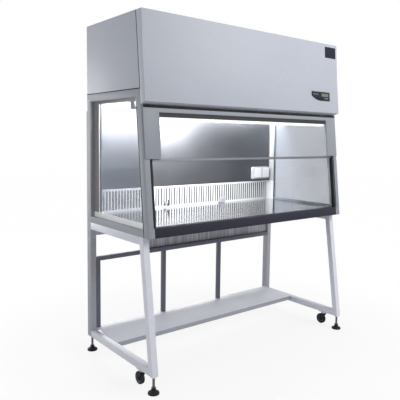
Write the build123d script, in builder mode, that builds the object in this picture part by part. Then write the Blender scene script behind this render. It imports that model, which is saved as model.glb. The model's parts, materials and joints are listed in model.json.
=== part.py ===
from build123d import *
import os
from math import cos, radians, sin, tan

os.makedirs("parts", exist_ok=True)

# ------------------------------------------------------------------ driving dimensions (mm, degrees)
cabinet_width = 1850
leg_clearance = 110  # floor to the underside of the stand
stand_height = 841  # underside of the stand to the seam under the cabinet
chamber_height = 899  # seam to the foot of the upper side panels
canopy_height = 465  # upper side panels
front_reach = 804  # depth of the cabinet's front plane at the seam
front_lean = 6.5
leg_lean = 8.0
leg_top_reach = 731  # depth of the front legs' faces at the seam

tube_width = 45
upright_depth = 55
upright_back = 14  # the uprights stand this far behind the cabinet's back
upright_top_drop = 120  # from the foot of the upper side panels down to the uprights' tops
leg_depth = 42
top_rail_height = 50
bottom_rail_height = 45
rear_top_rail_height = 98
rear_top_rail_depth = 40
light_tube = 30
light_tube_depth = 15  # back wall of the light rear frame's tubes
mid_rail_top_drop = 257  # from the seam to the top of the light rear rail
tube_corner = 3

pad_radius = 36
stem_radius = 8
stem_grip = 30  # length of the stem inside the leg
thread_clearance = 0.05
locknut_height = 10
locknut_flats = 24

caster_depth = 700
caster_trail = 28
wheel_radius = 41
wheel_width = 26
wheel_lift = 2  # the tyres clear the floor when the stand is levelled
axle_radius = 5
running_clearance = 0.05
fork_sheet = 3
fork_gap = 1.5

sheet = 2
fine_sheet = 1.5
seat_gap = 0.3
joint_gap = 0.5

post_depth = 55
sill_rise = 61
sill_depth = 42
window_sill_height = 42
window_head_height = 50
window_stile = 6
glass_thickness = 6

fascia_leg = 115
fascia_bar = 41
fascia_proud = 8
fascia_drop = 99  # from the foot of the upper side panels down to the fascia's top
fascia_height = 325
fascia_inset = 5
guide_depth = 22
guide_width = 15
guide_setback = 6
sash_height = 742
sash_rise = 461  # seam to the foot of the raised sash
sash_handle_height = 16

worktop_rise = 60  # seam to the worktop's surface
worktop_sheet = 2
worktop_skirt = 25
back_wall_depth = 50
wall_corner_radius = 30
wall_return = 60
slot_pitch = 25
slot_width = 12
slot_height = 139
slot_foot = 15  # worktop to the foot of the slots
grille_head = 14

seam_top_reach = 644  # depth of the seam between the side panels and the front cover
seam_foot_reach = 698
cover_top_run = 67  # the cover's front edge ahead of the seam, at the top
cover_fold_run = 20  # the cover's fold ahead of its top edge
cover_fold_drop = 286
cover_foot_run = 26  # the cover's foot ahead of its fold
cover_foot_drop = 543
cover_return_drop = 17

# ------------------------------------------------------------------ levels and planes worked out from them
half = cabinet_width / 2
z_seam = leg_clearance + stand_height
z_panel = z_seam + chamber_height
z_top = z_panel + canopy_height
z_rail = leg_clearance + bottom_rail_height
z_upright = z_panel - upright_top_drop
z_worktop = z_seam + worktop_rise
z_ceiling = z_panel - window_head_height
leg_foot_reach = leg_top_reach + stand_height * tan(radians(leg_lean))
front_foot_depth = leg_foot_reach - leg_depth / 2
rear_foot_depth = upright_depth / 2 - upright_back
rear_y = (front_foot_depth + rear_foot_depth) / 2
foot_x = half - tube_width / 2
inner = half - tube_width
upright_front = upright_depth - upright_back
seam_slope = (seam_foot_reach - seam_top_reach) / canopy_height
cover_top_reach = seam_top_reach + cover_top_run
cover_fold_reach = cover_top_reach + cover_fold_run
cover_foot_reach = cover_fold_reach + cover_foot_run


def at(depth):
    """Row of the frame that lies a depth in front of the cabinet's back."""
    return rear_y - depth


def front_at(z, behind=0.0):
    """Depth of the cabinet's leaning front plane at a height, less a normal distance behind it."""
    return front_reach - (z - z_seam) * tan(radians(front_lean)) - behind / cos(radians(front_lean))


def leg_face_at(z):
    """Depth of the front legs' leaning faces at a height."""
    return leg_top_reach + (z_seam - z) * tan(radians(leg_lean))


def seam_at(z):
    """Depth of the seam between the upper side panels and the front cover."""
    return seam_top_reach + (z_top - z) * seam_slope


def front_plane(behind=0.0):
    """Plane on the leaning front: its x runs across, its y runs up the slope from the seam."""
    base = Plane(
        origin=(0, at(front_reach), z_seam),
        x_dir=(1, 0, 0),
        z_dir=(0, -cos(radians(front_lean)), sin(radians(front_lean))),
    )
    return base.offset(-behind)


def up_slope(z):
    """Distance up the leaning front plane to a height."""
    return (z - z_seam) / cos(radians(front_lean))


def save(piece, label):
    """Name a finished piece and write its file."""
    piece.part.label = label
    export_step(piece.part, f"parts/{label}.step")


def side_view(points):
    """Outline given as (depth, height) pairs, in the frame's own side view."""
    return [(at(depth), z) for depth, z in points]


def bar_between(points, x0, x1):
    """Straight bar from x0 to x1 whose side view is the given outline."""
    with BuildPart() as bar:
        with BuildSketch(Plane.YZ.offset(x0)):
            with BuildLine():
                Polyline(*side_view(points), close=True)
            make_face()
        extrude(amount=x1 - x0)
    return bar


def block(x0, x1, d0, d1, z0, z1):
    """Plain rectangular bar between two heights."""
    with BuildPart() as bar:
        with BuildSketch(Plane.XY.offset(z0)):
            with Locations(((x0 + x1) / 2, at((d0 + d1) / 2))):
                Rectangle(x1 - x0, abs(d1 - d0))
        extrude(amount=z1 - z0)
    return bar


def span(side, near, far):
    """Lower and upper x of a stretch on one side, given as distances from the middle."""
    return (near, far) if side > 0 else (-far, -near)


sides = {"left": -1, "right": 1}

# ------------------------------------------------------------------ stand: tubes
for name, side in sides.items():
    x0, x1 = span(side, inner, half)

    with BuildPart() as upright:
        with BuildSketch(Plane.XY.offset(leg_clearance)):
            with Locations((side * foot_x, at(rear_foot_depth))):
                RectangleRounded(tube_width, upright_depth, tube_corner)
        extrude(amount=z_upright - leg_clearance)
        with BuildSketch(Plane.XY.offset(leg_clearance)):
            with Locations((side * foot_x, at(rear_foot_depth))):
                Circle(stem_radius + thread_clearance)
        extrude(amount=stem_grip + joint_gap, mode=Mode.SUBTRACT)
    save(upright, f"rear_upright_{name}")

    leg_outline = [
        (leg_face_at(leg_clearance), leg_clearance),
        (leg_face_at(z_seam), z_seam),
        (leg_face_at(z_seam) - leg_depth, z_seam),
        (leg_face_at(leg_clearance) - leg_depth, leg_clearance),
    ]
    with BuildPart() as leg:
        with BuildSketch(Plane.YZ.offset(x0)):
            with BuildLine():
                Polyline(*side_view(leg_outline), close=True)
            make_face()
        extrude(amount=tube_width)
        along_leg = leg.edges().filter_by(lambda e: abs(e.tangent_at(0.5).Z) > 0.9)
        fillet(along_leg, tube_corner)
        with BuildSketch(Plane.XY.offset(leg_clearance)):
            with Locations((side * foot_x, at(front_foot_depth))):
                Circle(stem_radius + thread_clearance)
        extrude(amount=stem_grip + joint_gap, mode=Mode.SUBTRACT)
    save(leg, f"front_leg_{name}")

    z_under = z_seam - top_rail_height
    top_rail = bar_between(
        [
            (upright_front, z_under),
            (leg_face_at(z_under) - leg_depth, z_under),
            (leg_face_at(z_seam) - leg_depth, z_seam),
            (upright_front, z_seam),
        ],
        x0,
        x1,
    )
    save(top_rail, f"side_top_rail_{name}")

    bottom_rail = bar_between(
        [
            (upright_front, leg_clearance),
            (leg_face_at(leg_clearance) - leg_depth, leg_clearance),
            (leg_face_at(z_rail) - leg_depth, z_rail),
            (upright_front, z_rail),
        ],
        x0,
        x1,
    )
    save(bottom_rail, f"side_bottom_rail_{name}")

# light frame of square tubes behind the knee space
z_mid_top = z_seam - mid_rail_top_drop
z_mid_under = z_mid_top - light_tube
light_front = light_tube_depth + light_tube
shelf_rise = 14  # shelf above the bottom rails
shelf_depth = 345
shelf_step_depth = 111
shelf_step_run = 29
shelf_step = 12
shelf_lip = 32
z_shelf = z_rail + shelf_rise
end_post_x = inner - light_tube / 2
post_places = [-end_post_x, -end_post_x / 3, end_post_x / 3]

# folded shelf between the bottom rails: one step along its length and a lip at the front
shelf_line = [
    (light_tube_depth, z_shelf - shelf_lip),
    (light_tube_depth, z_shelf),
    (shelf_step_depth, z_shelf),
    (shelf_step_depth + shelf_step_run, z_shelf - shelf_step),
    (shelf_depth, z_shelf - shelf_step),
    (shelf_depth, z_shelf - shelf_step - shelf_lip),
]
shelf_inside = [
    (light_tube_depth + sheet, z_shelf - shelf_lip),
    (light_tube_depth + sheet, z_shelf - sheet),
    (shelf_step_depth, z_shelf - sheet),
    (shelf_step_depth + shelf_step_run, z_shelf - shelf_step - sheet),
    (shelf_depth - sheet, z_shelf - shelf_step - sheet),
    (shelf_depth - sheet, z_shelf - shelf_step - shelf_lip),
]
lower_shelf = bar_between(shelf_line + shelf_inside[::-1], -inner, inner)
save(lower_shelf, "lower_shelf")

# rear frame, one weldment: deep top rail, folded apron, light rail and the posts on the shelf
apron_start = 440
z_apron_top = z_seam - rear_top_rail_height
with BuildPart() as rear_frame:
    with BuildSketch(Plane.XZ.offset(-at(light_front))):
        with Locations((0, z_mid_under + light_tube / 2)):
            Rectangle(2 * inner, light_tube)
        for x in post_places:
            with Locations((x, (z_shelf + z_mid_under) / 2)):
                Rectangle(light_tube, z_mid_under - z_shelf)
    extrude(amount=-light_tube)
    with BuildSketch(Plane.YZ.offset(-inner)):
        with Locations((at(rear_top_rail_depth / 2), z_seam - rear_top_rail_height / 2)):
            Rectangle(rear_top_rail_depth, rear_top_rail_height)
    extrude(amount=2 * inner)
    with BuildSketch(Plane.YZ.offset(-apron_start)):
        with Locations((at(light_tube_depth + 1.5 * sheet), (z_mid_top + z_apron_top) / 2)):
            Rectangle(sheet, z_apron_top - z_mid_top)
        with Locations((at((light_tube_depth + sheet + light_front) / 2), z_mid_top + sheet / 2)):
            Rectangle(light_tube - sheet, sheet)
    extrude(amount=apron_start + inner)
save(rear_frame, "rear_frame")

# ------------------------------------------------------------------ levelling feet
foot_places = {
    "front_left": (-foot_x, at(front_foot_depth)),
    "front_right": (foot_x, at(front_foot_depth)),
    "rear_left": (-foot_x, at(rear_foot_depth)),
    "rear_right": (foot_x, at(rear_foot_depth)),
}
pad_edge = 10
pad_shoulder = 22
pad_neck_radius = 15
pad_nut_top = 40
for name, (x, y) in foot_places.items():
    foot_section = Plane(origin=(x, y, 0), x_dir=(1, 0, 0), z_dir=(0, -1, 0))
    with BuildPart() as foot:
        with BuildSketch(foot_section):
            with BuildLine():
                Polyline(
                    (0, 0),
                    (pad_radius, 0),
                    (pad_radius, pad_edge),
                    (pad_neck_radius, pad_shoulder),
                    (pad_neck_radius, pad_nut_top),
                    (stem_radius, pad_nut_top),
                    (stem_radius, leg_clearance + stem_grip),
                    (0, leg_clearance + stem_grip),
                    close=True,
                )
            make_face()
        revolve(axis=Axis((x, y, 0), (0, 0, 1)))
        rim = foot.edges().filter_by(GeomType.CIRCLE).filter_by(lambda e: abs(e.radius - pad_radius) < 0.1)
        fillet(rim.sort_by(Axis.Z)[-1], pad_edge / 3)
    save(foot, f"foot_{name}")

with BuildPart() as locknuts:
    for x, y in foot_places.values():
        with BuildSketch(Plane.XY.offset(leg_clearance - locknut_height)):
            with Locations((x, y)):
                RegularPolygon(locknut_flats / 2, 6, major_radius=False)
                Circle(stem_radius + thread_clearance, mode=Mode.SUBTRACT)
        extrude(amount=locknut_height)
save(locknuts, "foot_locknuts")

# ------------------------------------------------------------------ casters under the side rails
caster_plate_thickness = 4
caster_plate_length = 76
race_radius = 21
race_height = 9
kingpin_radius = 6
crown_height = 7
z_plate = leg_clearance - caster_plate_thickness
z_race = z_plate - race_height
z_crown_top = z_race - seat_gap
z_crown = z_crown_top - crown_height
z_axle = wheel_lift + wheel_radius
fork_inner = wheel_width / 2 + fork_gap
fork_outer = fork_inner + fork_sheet
hub_radius = 27
tread_round = 6
axle_head = 2
axle_head_radius = 8
ear_radius = 12
crown_overhang = 1
hub_boss_radius = 10
hub_taper = 2
web_half = wheel_width / 4
for name, side in sides.items():
    x, y = side * foot_x, at(caster_depth)
    y_axle = y + caster_trail

    with BuildPart() as caster_plate:
        with BuildSketch(Plane.XY.offset(z_plate)):
            with Locations((x, y)):
                RectangleRounded(tube_width, caster_plate_length, tube_corner)
        extrude(amount=caster_plate_thickness)
        with BuildSketch(Plane.XY.offset(z_race)):
            with Locations((x, y)):
                Circle(race_radius)
        extrude(amount=race_height)
        with BuildSketch(Plane.XY.offset(z_crown)):
            with Locations((x, y)):
                Circle(kingpin_radius)
        extrude(amount=z_race - z_crown)
    save(caster_plate, f"caster_plate_{name}")

    with BuildPart() as caster_fork:
        with BuildSketch(Plane.XY.offset(z_crown)):
            with Locations((x, y)):
                Circle(race_radius + crown_overhang)
                Rectangle(2 * fork_outer, 2 * ear_radius)
                Circle(kingpin_radius + running_clearance, mode=Mode.SUBTRACT)
        extrude(amount=crown_height)
        for cheek in (-1, 1):
            cheek_face = Plane.YZ.offset(x + cheek * fork_inner)
            with BuildSketch(cheek_face):
                with BuildLine():
                    Polyline(
                        (y - ear_radius, z_crown),
                        (y + race_radius, z_crown),
                        (y_axle + ear_radius, z_axle),
                        (y_axle - ear_radius, z_axle),
                        close=True,
                    )
                make_face()
                with Locations((y_axle, z_axle)):
                    Circle(ear_radius)
            extrude(amount=cheek * fork_sheet)
        with BuildSketch(Plane.YZ.offset(x - fork_outer)):
            with Locations((y_axle, z_axle)):
                Circle(axle_radius)
        extrude(amount=2 * fork_outer)
        for end in (-1, 1):
            with BuildSketch(Plane.YZ.offset(x + end * fork_outer)):
                with Locations((y_axle, z_axle)):
                    RegularPolygon(axle_head_radius, 6)
            extrude(amount=end * axle_head)
    save(caster_fork, f"caster_fork_{name}")

    wheel_section = Plane(origin=(x, y_axle, z_axle), x_dir=(1, 0, 0), z_dir=(0, -1, 0))
    with BuildPart() as caster_wheel:
        with BuildSketch(wheel_section):
            with BuildLine():
                Polyline(
                    (-wheel_width / 2, axle_radius + running_clearance),
                    (-wheel_width / 2, hub_boss_radius),
                    (-web_half, hub_boss_radius + hub_taper),
                    (-web_half, hub_radius - 2 * hub_taper),
                    (-wheel_width / 2, hub_radius),
                    (-wheel_width / 2, wheel_radius),
                    (wheel_width / 2, wheel_radius),
                    (wheel_width / 2, hub_radius),
                    (web_half, hub_radius - 2 * hub_taper),
                    (web_half, hub_boss_radius + hub_taper),
                    (wheel_width / 2, hub_boss_radius),
                    (wheel_width / 2, axle_radius + running_clearance),
                    close=True,
                )
            make_face()
        revolve(axis=Axis((x, y_axle, z_axle), (1, 0, 0)))
        rims = caster_wheel.edges().filter_by(GeomType.CIRCLE)
        fillet(rims.filter_by(lambda e: abs(e.radius - wheel_radius) < 0.1), tread_round)
    save(caster_wheel, f"caster_wheel_{name}")

# ------------------------------------------------------------------ work chamber: base, posts and sides
z_sill = z_seam + sill_rise
sill_back = front_at(z_sill) - sill_depth
front_sill = bar_between(
    [(front_at(z_seam), z_seam), (front_at(z_sill), z_sill), (sill_back, z_sill), (sill_back, z_seam)],
    -inner,
    inner,
)
save(front_sill, "front_sill")

z_fascia_top = z_panel - fascia_drop
for name, side in sides.items():
    x0, x1 = span(side, inner, half)
    post_outline = [
        (front_at(z_seam), z_seam),
        (front_at(z_fascia_top), z_fascia_top),
        (front_at(z_fascia_top, post_depth), z_fascia_top),
        (front_at(z_seam, post_depth), z_seam),
    ]
    save(bar_between(post_outline, x0, x1), f"front_post_{name}")

z_window_foot = z_seam + window_sill_height
window_rear = upright_front + window_stile
window_outline = [
    (window_rear, z_window_foot),
    (front_at(z_window_foot, post_depth + window_stile), z_window_foot),
    (front_at(z_ceiling, post_depth + window_stile), z_ceiling),
    (window_rear, z_ceiling),
]
z_post_clear = z_fascia_top + seat_gap
side_outline = [
    (upright_front, z_seam),
    (front_at(z_seam, post_depth + seat_gap), z_seam),
    (front_at(z_post_clear, post_depth + seat_gap), z_post_clear),
    (seam_at(z_post_clear) - joint_gap, z_post_clear),
    (seam_at(z_panel) - joint_gap, z_panel),
    (0, z_panel),
    (0, z_upright + seat_gap),
    (upright_front, z_upright + seat_gap),
]
window_bead = 5
for name, side in sides.items():
    inner_face = Plane.YZ.offset(side * inner)
    with BuildPart() as side_frame:
        with BuildSketch(inner_face):
            with BuildLine():
                Polyline(*side_view(side_outline), close=True)
            make_face()
            with BuildLine():
                Polyline(*side_view(window_outline), close=True)
            make_face(mode=Mode.SUBTRACT)
        extrude(amount=side * tube_width)
        with BuildSketch(inner_face.offset(side * window_bead)):
            with BuildLine():
                Polyline(*side_view(window_outline), close=True)
            make_face()
            offset(amount=window_stile / 2, kind=Kind.INTERSECTION)
        extrude(amount=side * glass_thickness, mode=Mode.SUBTRACT)
    save(side_frame, f"side_frame_{name}")

    with BuildPart() as side_glass:
        with BuildSketch(inner_face.offset(side * window_bead)):
            with BuildLine():
                Polyline(*side_view(window_outline), close=True)
            make_face()
            offset(amount=window_stile / 2 - seat_gap, kind=Kind.INTERSECTION)
        extrude(amount=side * glass_thickness)
    save(side_glass, f"side_glass_{name}")

# drip pan that forms the floor of the cabinet, with ledges that carry the worktop
pan_rear = rear_top_rail_depth + seat_gap
pan_front = sill_back - seat_gap
z_pan_top = z_worktop - worktop_skirt
pan_ledge = 15
pan_mid = (pan_rear + pan_front) / 2
pan_length = pan_front - pan_rear
with BuildPart() as drip_pan:
    with BuildSketch(Plane.XY.offset(z_seam)):
        with Locations((0, at(pan_mid))):
            Rectangle(2 * (inner - seat_gap), pan_length)
    extrude(amount=z_pan_top - z_seam)
    with BuildSketch(Plane.XY.offset(z_seam + sheet)):
        with Locations((0, at(pan_mid))):
            Rectangle(2 * (inner - seat_gap - sheet), pan_length - 2 * sheet)
    extrude(amount=z_pan_top - z_seam - 2 * sheet, mode=Mode.SUBTRACT)
    with BuildSketch(Plane.XY.offset(z_pan_top)):
        with Locations((0, at(pan_mid))):
            Rectangle(2 * (inner - pan_ledge), pan_length - 2 * pan_ledge)
    extrude(amount=-2 * sheet, mode=Mode.SUBTRACT)
save(drip_pan, "drip_pan")

# worktop: one folded sheet with skirts, pierced by short rows of slots
worktop_rear = pan_rear
worktop_front = sill_back - joint_gap
worktop_mid = (worktop_rear + worktop_front) / 2
worktop_length = worktop_front - worktop_rear
row_slots = 5
row_pitch = 24
row_slot_length = 14
row_slot_width = 5
front_row_depth = worktop_rear + 0.72 * worktop_length
rear_row_depth = worktop_rear + 0.4 * worktop_length
front_rows = [(-316.8, front_row_depth), (52.8, front_row_depth), (440, front_row_depth)]
middle_row_depth = worktop_rear + 0.38 * worktop_length
rear_rows = [(-272.8, rear_row_depth), (105.6, middle_row_depth), (484, rear_row_depth)]
with BuildPart() as worktop:
    with BuildSketch(Plane.XY.offset(z_pan_top)):
        with Locations((0, at(worktop_mid))):
            Rectangle(2 * (inner - joint_gap), worktop_length)
    extrude(amount=worktop_skirt)
    with BuildSketch(Plane.XY.offset(z_pan_top)):
        with Locations((0, at(worktop_mid))):
            Rectangle(2 * (inner - joint_gap - worktop_sheet), worktop_length - 2 * worktop_sheet)
    extrude(amount=worktop_skirt - worktop_sheet, mode=Mode.SUBTRACT)
    for x, depth in front_rows + rear_rows:
        with BuildSketch(Plane.XY.offset(z_worktop)):
            with Locations((x, at(depth))):
                with GridLocations(row_pitch, row_pitch, row_slots, 1):
                    Rectangle(row_slot_length, row_slot_width)
        extrude(amount=-worktop_sheet, mode=Mode.SUBTRACT)
save(worktop, "worktop")

# ------------------------------------------------------------------ back wall and its slotted return grille
wall_gap = 12  # side frame to the rear lining
wall_x = inner - wall_gap
wall_front = back_wall_depth + wall_return
z_grille_foot = z_worktop
z_grille_top = z_worktop + slot_foot + slot_height + grille_head


def wall_band(z0, z1):
    """Sheet that lines the rear of the chamber and turns forward round each rear corner."""
    with BuildPart() as band:
        with BuildSketch(Plane.XY.offset(z0)):
            with BuildSketch(mode=Mode.PRIVATE) as lining:
                with Locations((0, at((back_wall_depth - fine_sheet + wall_front) / 2))):
                    Rectangle(2 * (wall_x + fine_sheet), wall_return + fine_sheet)
                fillet(lining.vertices().sort_by(Axis.Y)[-2:], wall_corner_radius + fine_sheet)
            with BuildSketch(mode=Mode.PRIVATE) as space:
                with Locations((0, at(back_wall_depth + wall_return))):
                    Rectangle(2 * wall_x, 2 * wall_return)
                fillet(space.vertices().sort_by(Axis.Y)[-2:], wall_corner_radius)
            add(lining.sketch)
            add(space.sketch, mode=Mode.SUBTRACT)
        extrude(amount=z1 - z0)
    return band


back_wall = wall_band(z_grille_top + seat_gap, z_ceiling)
save(back_wall, "back_wall")

slot_count = int((2 * (wall_x - wall_corner_radius) + slot_pitch - slot_width) / slot_pitch)
z_slot_mid = z_worktop + slot_foot + slot_height / 2
wall_face = Plane(origin=(0, at(back_wall_depth), 0), x_dir=(1, 0, 0), z_dir=(0, -1, 0))
grille_band = wall_band(z_grille_foot, z_grille_top)
with BuildPart() as return_grille:
    add(grille_band.part)
    with BuildSketch(wall_face):
        with Locations((0, z_slot_mid)):
            with GridLocations(slot_pitch, slot_pitch, slot_count, 1):
                Rectangle(slot_width, slot_height)
    extrude(amount=-2 * fine_sheet, mode=Mode.SUBTRACT)
save(return_grille, "return_grille")

# fittings on the rear of the chamber
socket_margin = 145  # inner face of the side frame to the middle of the sockets
socket_x = inner - socket_margin
socket_width = 190
socket_height = 106
socket_depth = 36
socket_rise = 243  # worktop to the middle of the socket box's height
flap_thickness = 4
flap_pin = 2.5
z_socket = z_worktop + socket_rise
socket_top = z_socket + socket_height / 2
flap_margin = 12
flap_width = socket_width / 2 - flap_margin
flap_height = socket_height - 22
z_flap_pin = socket_top - 9
pin_rise = 1
pin_depth = back_wall_depth + socket_depth + flap_pin + pin_rise
outlet_radius = 22
outlet_drop = 4
ear_block = (2 * flap_pin + 4, 2 * flap_pin + 3)
socket_corner = 6
front_edge = 2
flap_places = {"left": socket_x - socket_width / 4, "right": socket_x + socket_width / 4}
flap_ear = 4
with BuildPart() as socket_box:
    with BuildSketch(wall_face):
        with Locations((socket_x, z_socket)):
            RectangleRounded(socket_width, socket_height, socket_corner)
    extrude(amount=socket_depth)
    fillet(socket_box.faces().sort_by(Axis.Y)[0].edges(), front_edge)
    for x in flap_places.values():
        with BuildSketch(wall_face.offset(socket_depth)):
            with Locations((x, z_socket - outlet_drop)):
                Circle(outlet_radius)
        extrude(amount=-socket_depth / 2, mode=Mode.SUBTRACT)
        for end in (-1, 1):
            with BuildSketch(Plane.YZ.offset(x + end * (flap_width / 2 + joint_gap))):
                with Locations((at(pin_depth - flap_pin), z_flap_pin)):
                    Rectangle(*ear_block)
            extrude(amount=end * flap_ear)
        with BuildSketch(Plane.YZ.offset(x - flap_width / 2 - joint_gap)):
            with Locations((at(pin_depth), z_flap_pin)):
                Circle(flap_pin / 2)
        extrude(amount=flap_width + 2 * joint_gap)
save(socket_box, "socket_box")

for name, x in flap_places.items():
    with BuildPart() as flap:
        with BuildSketch(Plane.YZ.offset(x - flap_width / 2)):
            with Locations((at(pin_depth), z_flap_pin)):
                Circle(flap_pin)
            with Locations((at(pin_depth + flap_pin - flap_thickness / 2 + pin_rise), z_flap_pin - flap_height / 2)):
                Rectangle(flap_thickness, flap_height)
            with Locations((at(pin_depth), z_flap_pin)):
                Circle(flap_pin / 2 + running_clearance, mode=Mode.SUBTRACT)
        extrude(amount=flap_width)
    save(flap, f"socket_flap_{name}")

valve_x = -290
valve_rise = 29
valve_flange_radius = 19
valve_reach = 46
valve_radius = 9
spindle_radius = 4
handle_length = 34
handle_width = 11
handle_boss_radius = 10
handle_thickness = 9
valve_flange_thickness = 4
valve_nut_length = 12
valve_nut_radius = 13
spindle_length = 12
nozzle_radius = 6
nozzle_drop = 9
nozzle_setback = 12
z_valve = z_worktop + valve_rise
valve_face = Plane(origin=(valve_x, at(back_wall_depth), z_valve), x_dir=(1, 0, 0), z_dir=(0, -1, 0))
with BuildPart() as valve_body:
    with BuildSketch(valve_face):
        Circle(valve_flange_radius)
    extrude(amount=valve_flange_thickness)
    with BuildSketch(valve_face.offset(valve_flange_thickness)):
        RegularPolygon(valve_nut_radius, 6)
    extrude(amount=valve_nut_length)
    valve_nut_end = valve_flange_thickness + valve_nut_length
    with BuildSketch(valve_face.offset(valve_nut_end)):
        Circle(valve_radius)
    extrude(amount=valve_reach - valve_nut_end)
    with BuildSketch(valve_face.offset(valve_reach)):
        Circle(spindle_radius)
    extrude(amount=spindle_length)
    with BuildSketch(Plane.XY.offset(z_valve - valve_radius - nozzle_drop)):
        with Locations((valve_x, at(back_wall_depth + valve_reach - nozzle_setback))):
            Circle(nozzle_radius)
    extrude(amount=valve_radius + nozzle_drop)
save(valve_body, "service_valve")

with BuildPart() as valve_handle:
    with BuildSketch(valve_face.offset(valve_reach + seat_gap)):
        Circle(handle_boss_radius)
        with Locations((0, handle_length / 2)):
            RectangleRounded(handle_width, handle_length + 6, 4)
        Circle(spindle_radius + running_clearance, mode=Mode.SUBTRACT)
    extrude(amount=handle_thickness)
save(valve_handle, "valve_handle")

terminal_x = 288
terminal_width = 52
terminal_height = 38
terminal_depth = 28
terminal_rise = 4  # above the worktop
terminal_corner = 4
with BuildPart() as terminal_box:
    with BuildSketch(wall_face):
        with Locations((terminal_x, z_worktop + terminal_height / 2 + terminal_rise)):
            RectangleRounded(terminal_width, terminal_height, terminal_corner)
    extrude(amount=terminal_depth)
    fillet(terminal_box.faces().sort_by(Axis.Y)[0].edges(), front_edge)
save(terminal_box, "terminal_box")

# ------------------------------------------------------------------ sash, its guides and the fascia round it
z_sash = z_seam + sash_rise
glass_setback = guide_setback + guide_depth / 3
glass_edge = inner - guide_width / 2 + 1
slope_sash = up_slope(z_sash)
slope_fascia_top = up_slope(z_fascia_top)
slope_fascia_foot = slope_fascia_top - fascia_height
guide_foot = up_slope(z_sill) + (guide_setback + guide_depth) * tan(radians(front_lean)) + joint_gap
guide_over = 12  # guides above the raised pane
guide_head = slope_sash + sash_height + guide_over
for name, side in sides.items():
    with BuildPart() as guide:
        with BuildSketch(front_plane(guide_setback)):
            with Locations((side * (inner - guide_width / 2), (guide_foot + guide_head) / 2)):
                Rectangle(guide_width, guide_head - guide_foot)
        extrude(amount=-guide_depth)
        with BuildSketch(front_plane(glass_setback - joint_gap)):
            with Locations((side * (glass_edge - guide_width / 2 + joint_gap), (guide_foot + guide_head) / 2)):
                Rectangle(guide_width, guide_head - guide_foot)
        extrude(amount=-glass_thickness - 2 * joint_gap, mode=Mode.SUBTRACT)
    save(guide, f"sash_guide_{name}")

with BuildPart() as sash_glass:
    with BuildSketch(front_plane(glass_setback)):
        with Locations((0, slope_sash + joint_gap + sash_height / 2)):
            Rectangle(2 * glass_edge, sash_height)
    extrude(amount=-glass_thickness)
save(sash_glass, "sash_glass")

handle_lip = 4
handle_x = inner - guide_width - 3
with BuildPart() as sash_handle:
    with BuildSketch(front_plane(glass_setback - handle_lip)):
        with Locations((0, slope_sash + sash_handle_height / 2)):
            Rectangle(2 * handle_x, sash_handle_height)
    extrude(amount=-glass_thickness - 2 * handle_lip)
    fillet(sash_handle.edges().filter_by(Axis.X).sort_by(Axis.Z)[:2], 1.5)
    with BuildSketch(front_plane(glass_setback)):
        with Locations((0, slope_sash + joint_gap + sash_handle_height / 2)):
            Rectangle(2 * handle_x + 2, sash_handle_height)
    extrude(amount=-glass_thickness, mode=Mode.SUBTRACT)
save(sash_handle, "sash_handle")

wiper_drop = 28
wiper_thickness = 6
fascia_corner = 8
with BuildPart() as sash_fascia:
    with BuildSketch(front_plane(-fascia_proud)):
        with Locations((0, (slope_fascia_top + slope_fascia_foot) / 2)):
            Rectangle(2 * (half - fascia_inset), fascia_height)
        with Locations((0, (slope_fascia_top + slope_fascia_foot) / 2 - fascia_bar)):
            Rectangle(2 * (half - fascia_inset - fascia_leg), fascia_height, mode=Mode.SUBTRACT)
    extrude(amount=-fascia_proud)
    corners = sash_fascia.edges().filter_by(Axis.Y, tolerance=8).group_by(Axis.Z)[0]
    fillet(corners, fascia_corner)
    with BuildSketch(front_plane(0)):
        with Locations((0, slope_fascia_top - fascia_bar / 2 - wiper_drop / 2)):
            Rectangle(2 * (inner - guide_width - joint_gap), fascia_bar + wiper_drop)
    extrude(amount=-wiper_thickness)
save(sash_fascia, "sash_fascia")

# ------------------------------------------------------------------ lamps and supply filter
lamp_front = 650
lamp_depth = 60
lamp_drop = 132  # from the chamber ceiling down to the lamp's lens
lamp_height = 48
lamp_lens_height = 21
lens_width = lamp_depth - 6
lens_corner = 5
lens_neck = 6
lamp_hanger = 632  # sheet that hangs the lamp from the filter's frame
z_lamp = z_ceiling - lamp_drop
with BuildPart() as chamber_lamp:
    with BuildSketch(Plane.YZ.offset(-inner + seat_gap)):
        with Locations((at(lamp_front - lamp_depth / 2), z_lamp + (lamp_height + lamp_lens_height) / 2)):
            Rectangle(lamp_depth, lamp_height - lamp_lens_height)
        with Locations((at(lamp_front - lamp_depth / 2), z_lamp + lamp_lens_height / 2)):
            RectangleRounded(lens_width, lamp_lens_height, lens_corner)
        with Locations((at(lamp_front - lamp_depth / 2), z_lamp + lamp_lens_height - lens_neck / 2)):
            Rectangle(lens_width, lens_neck)
        with Locations((at(lamp_hanger), (z_lamp + lamp_height + z_ceiling) / 2)):
            Rectangle(sheet, z_ceiling - z_lamp - lamp_height)
    extrude(amount=2 * (inner - seat_gap))
save(chamber_lamp, "chamber_lamp")

uv_depth = 520
uv_radius = 8
uv_drop = 55
uv_margin = 12
uv_start = -inner + uv_margin
uv_length = 895
z_uv = z_ceiling - uv_drop
holder_thickness = 16
holder_width = 26
holder_drop = 12  # holders below the tube's axis
holder_corner = 3
with BuildPart() as uv_lamp:
    with BuildSketch(Plane.YZ.offset(uv_start)):
        with Locations((at(uv_depth), z_uv)):
            Circle(uv_radius)
    extrude(amount=uv_length)
    for x in (uv_start - holder_thickness / 2, uv_start + uv_length - holder_thickness / 2):
        with BuildSketch(Plane.YZ.offset(x)):
            with Locations((at(uv_depth), (z_uv - holder_drop + z_ceiling) / 2)):
                RectangleRounded(holder_width, z_ceiling - z_uv + holder_drop, holder_corner)
        extrude(amount=holder_thickness)
save(uv_lamp, "uv_lamp")

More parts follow.
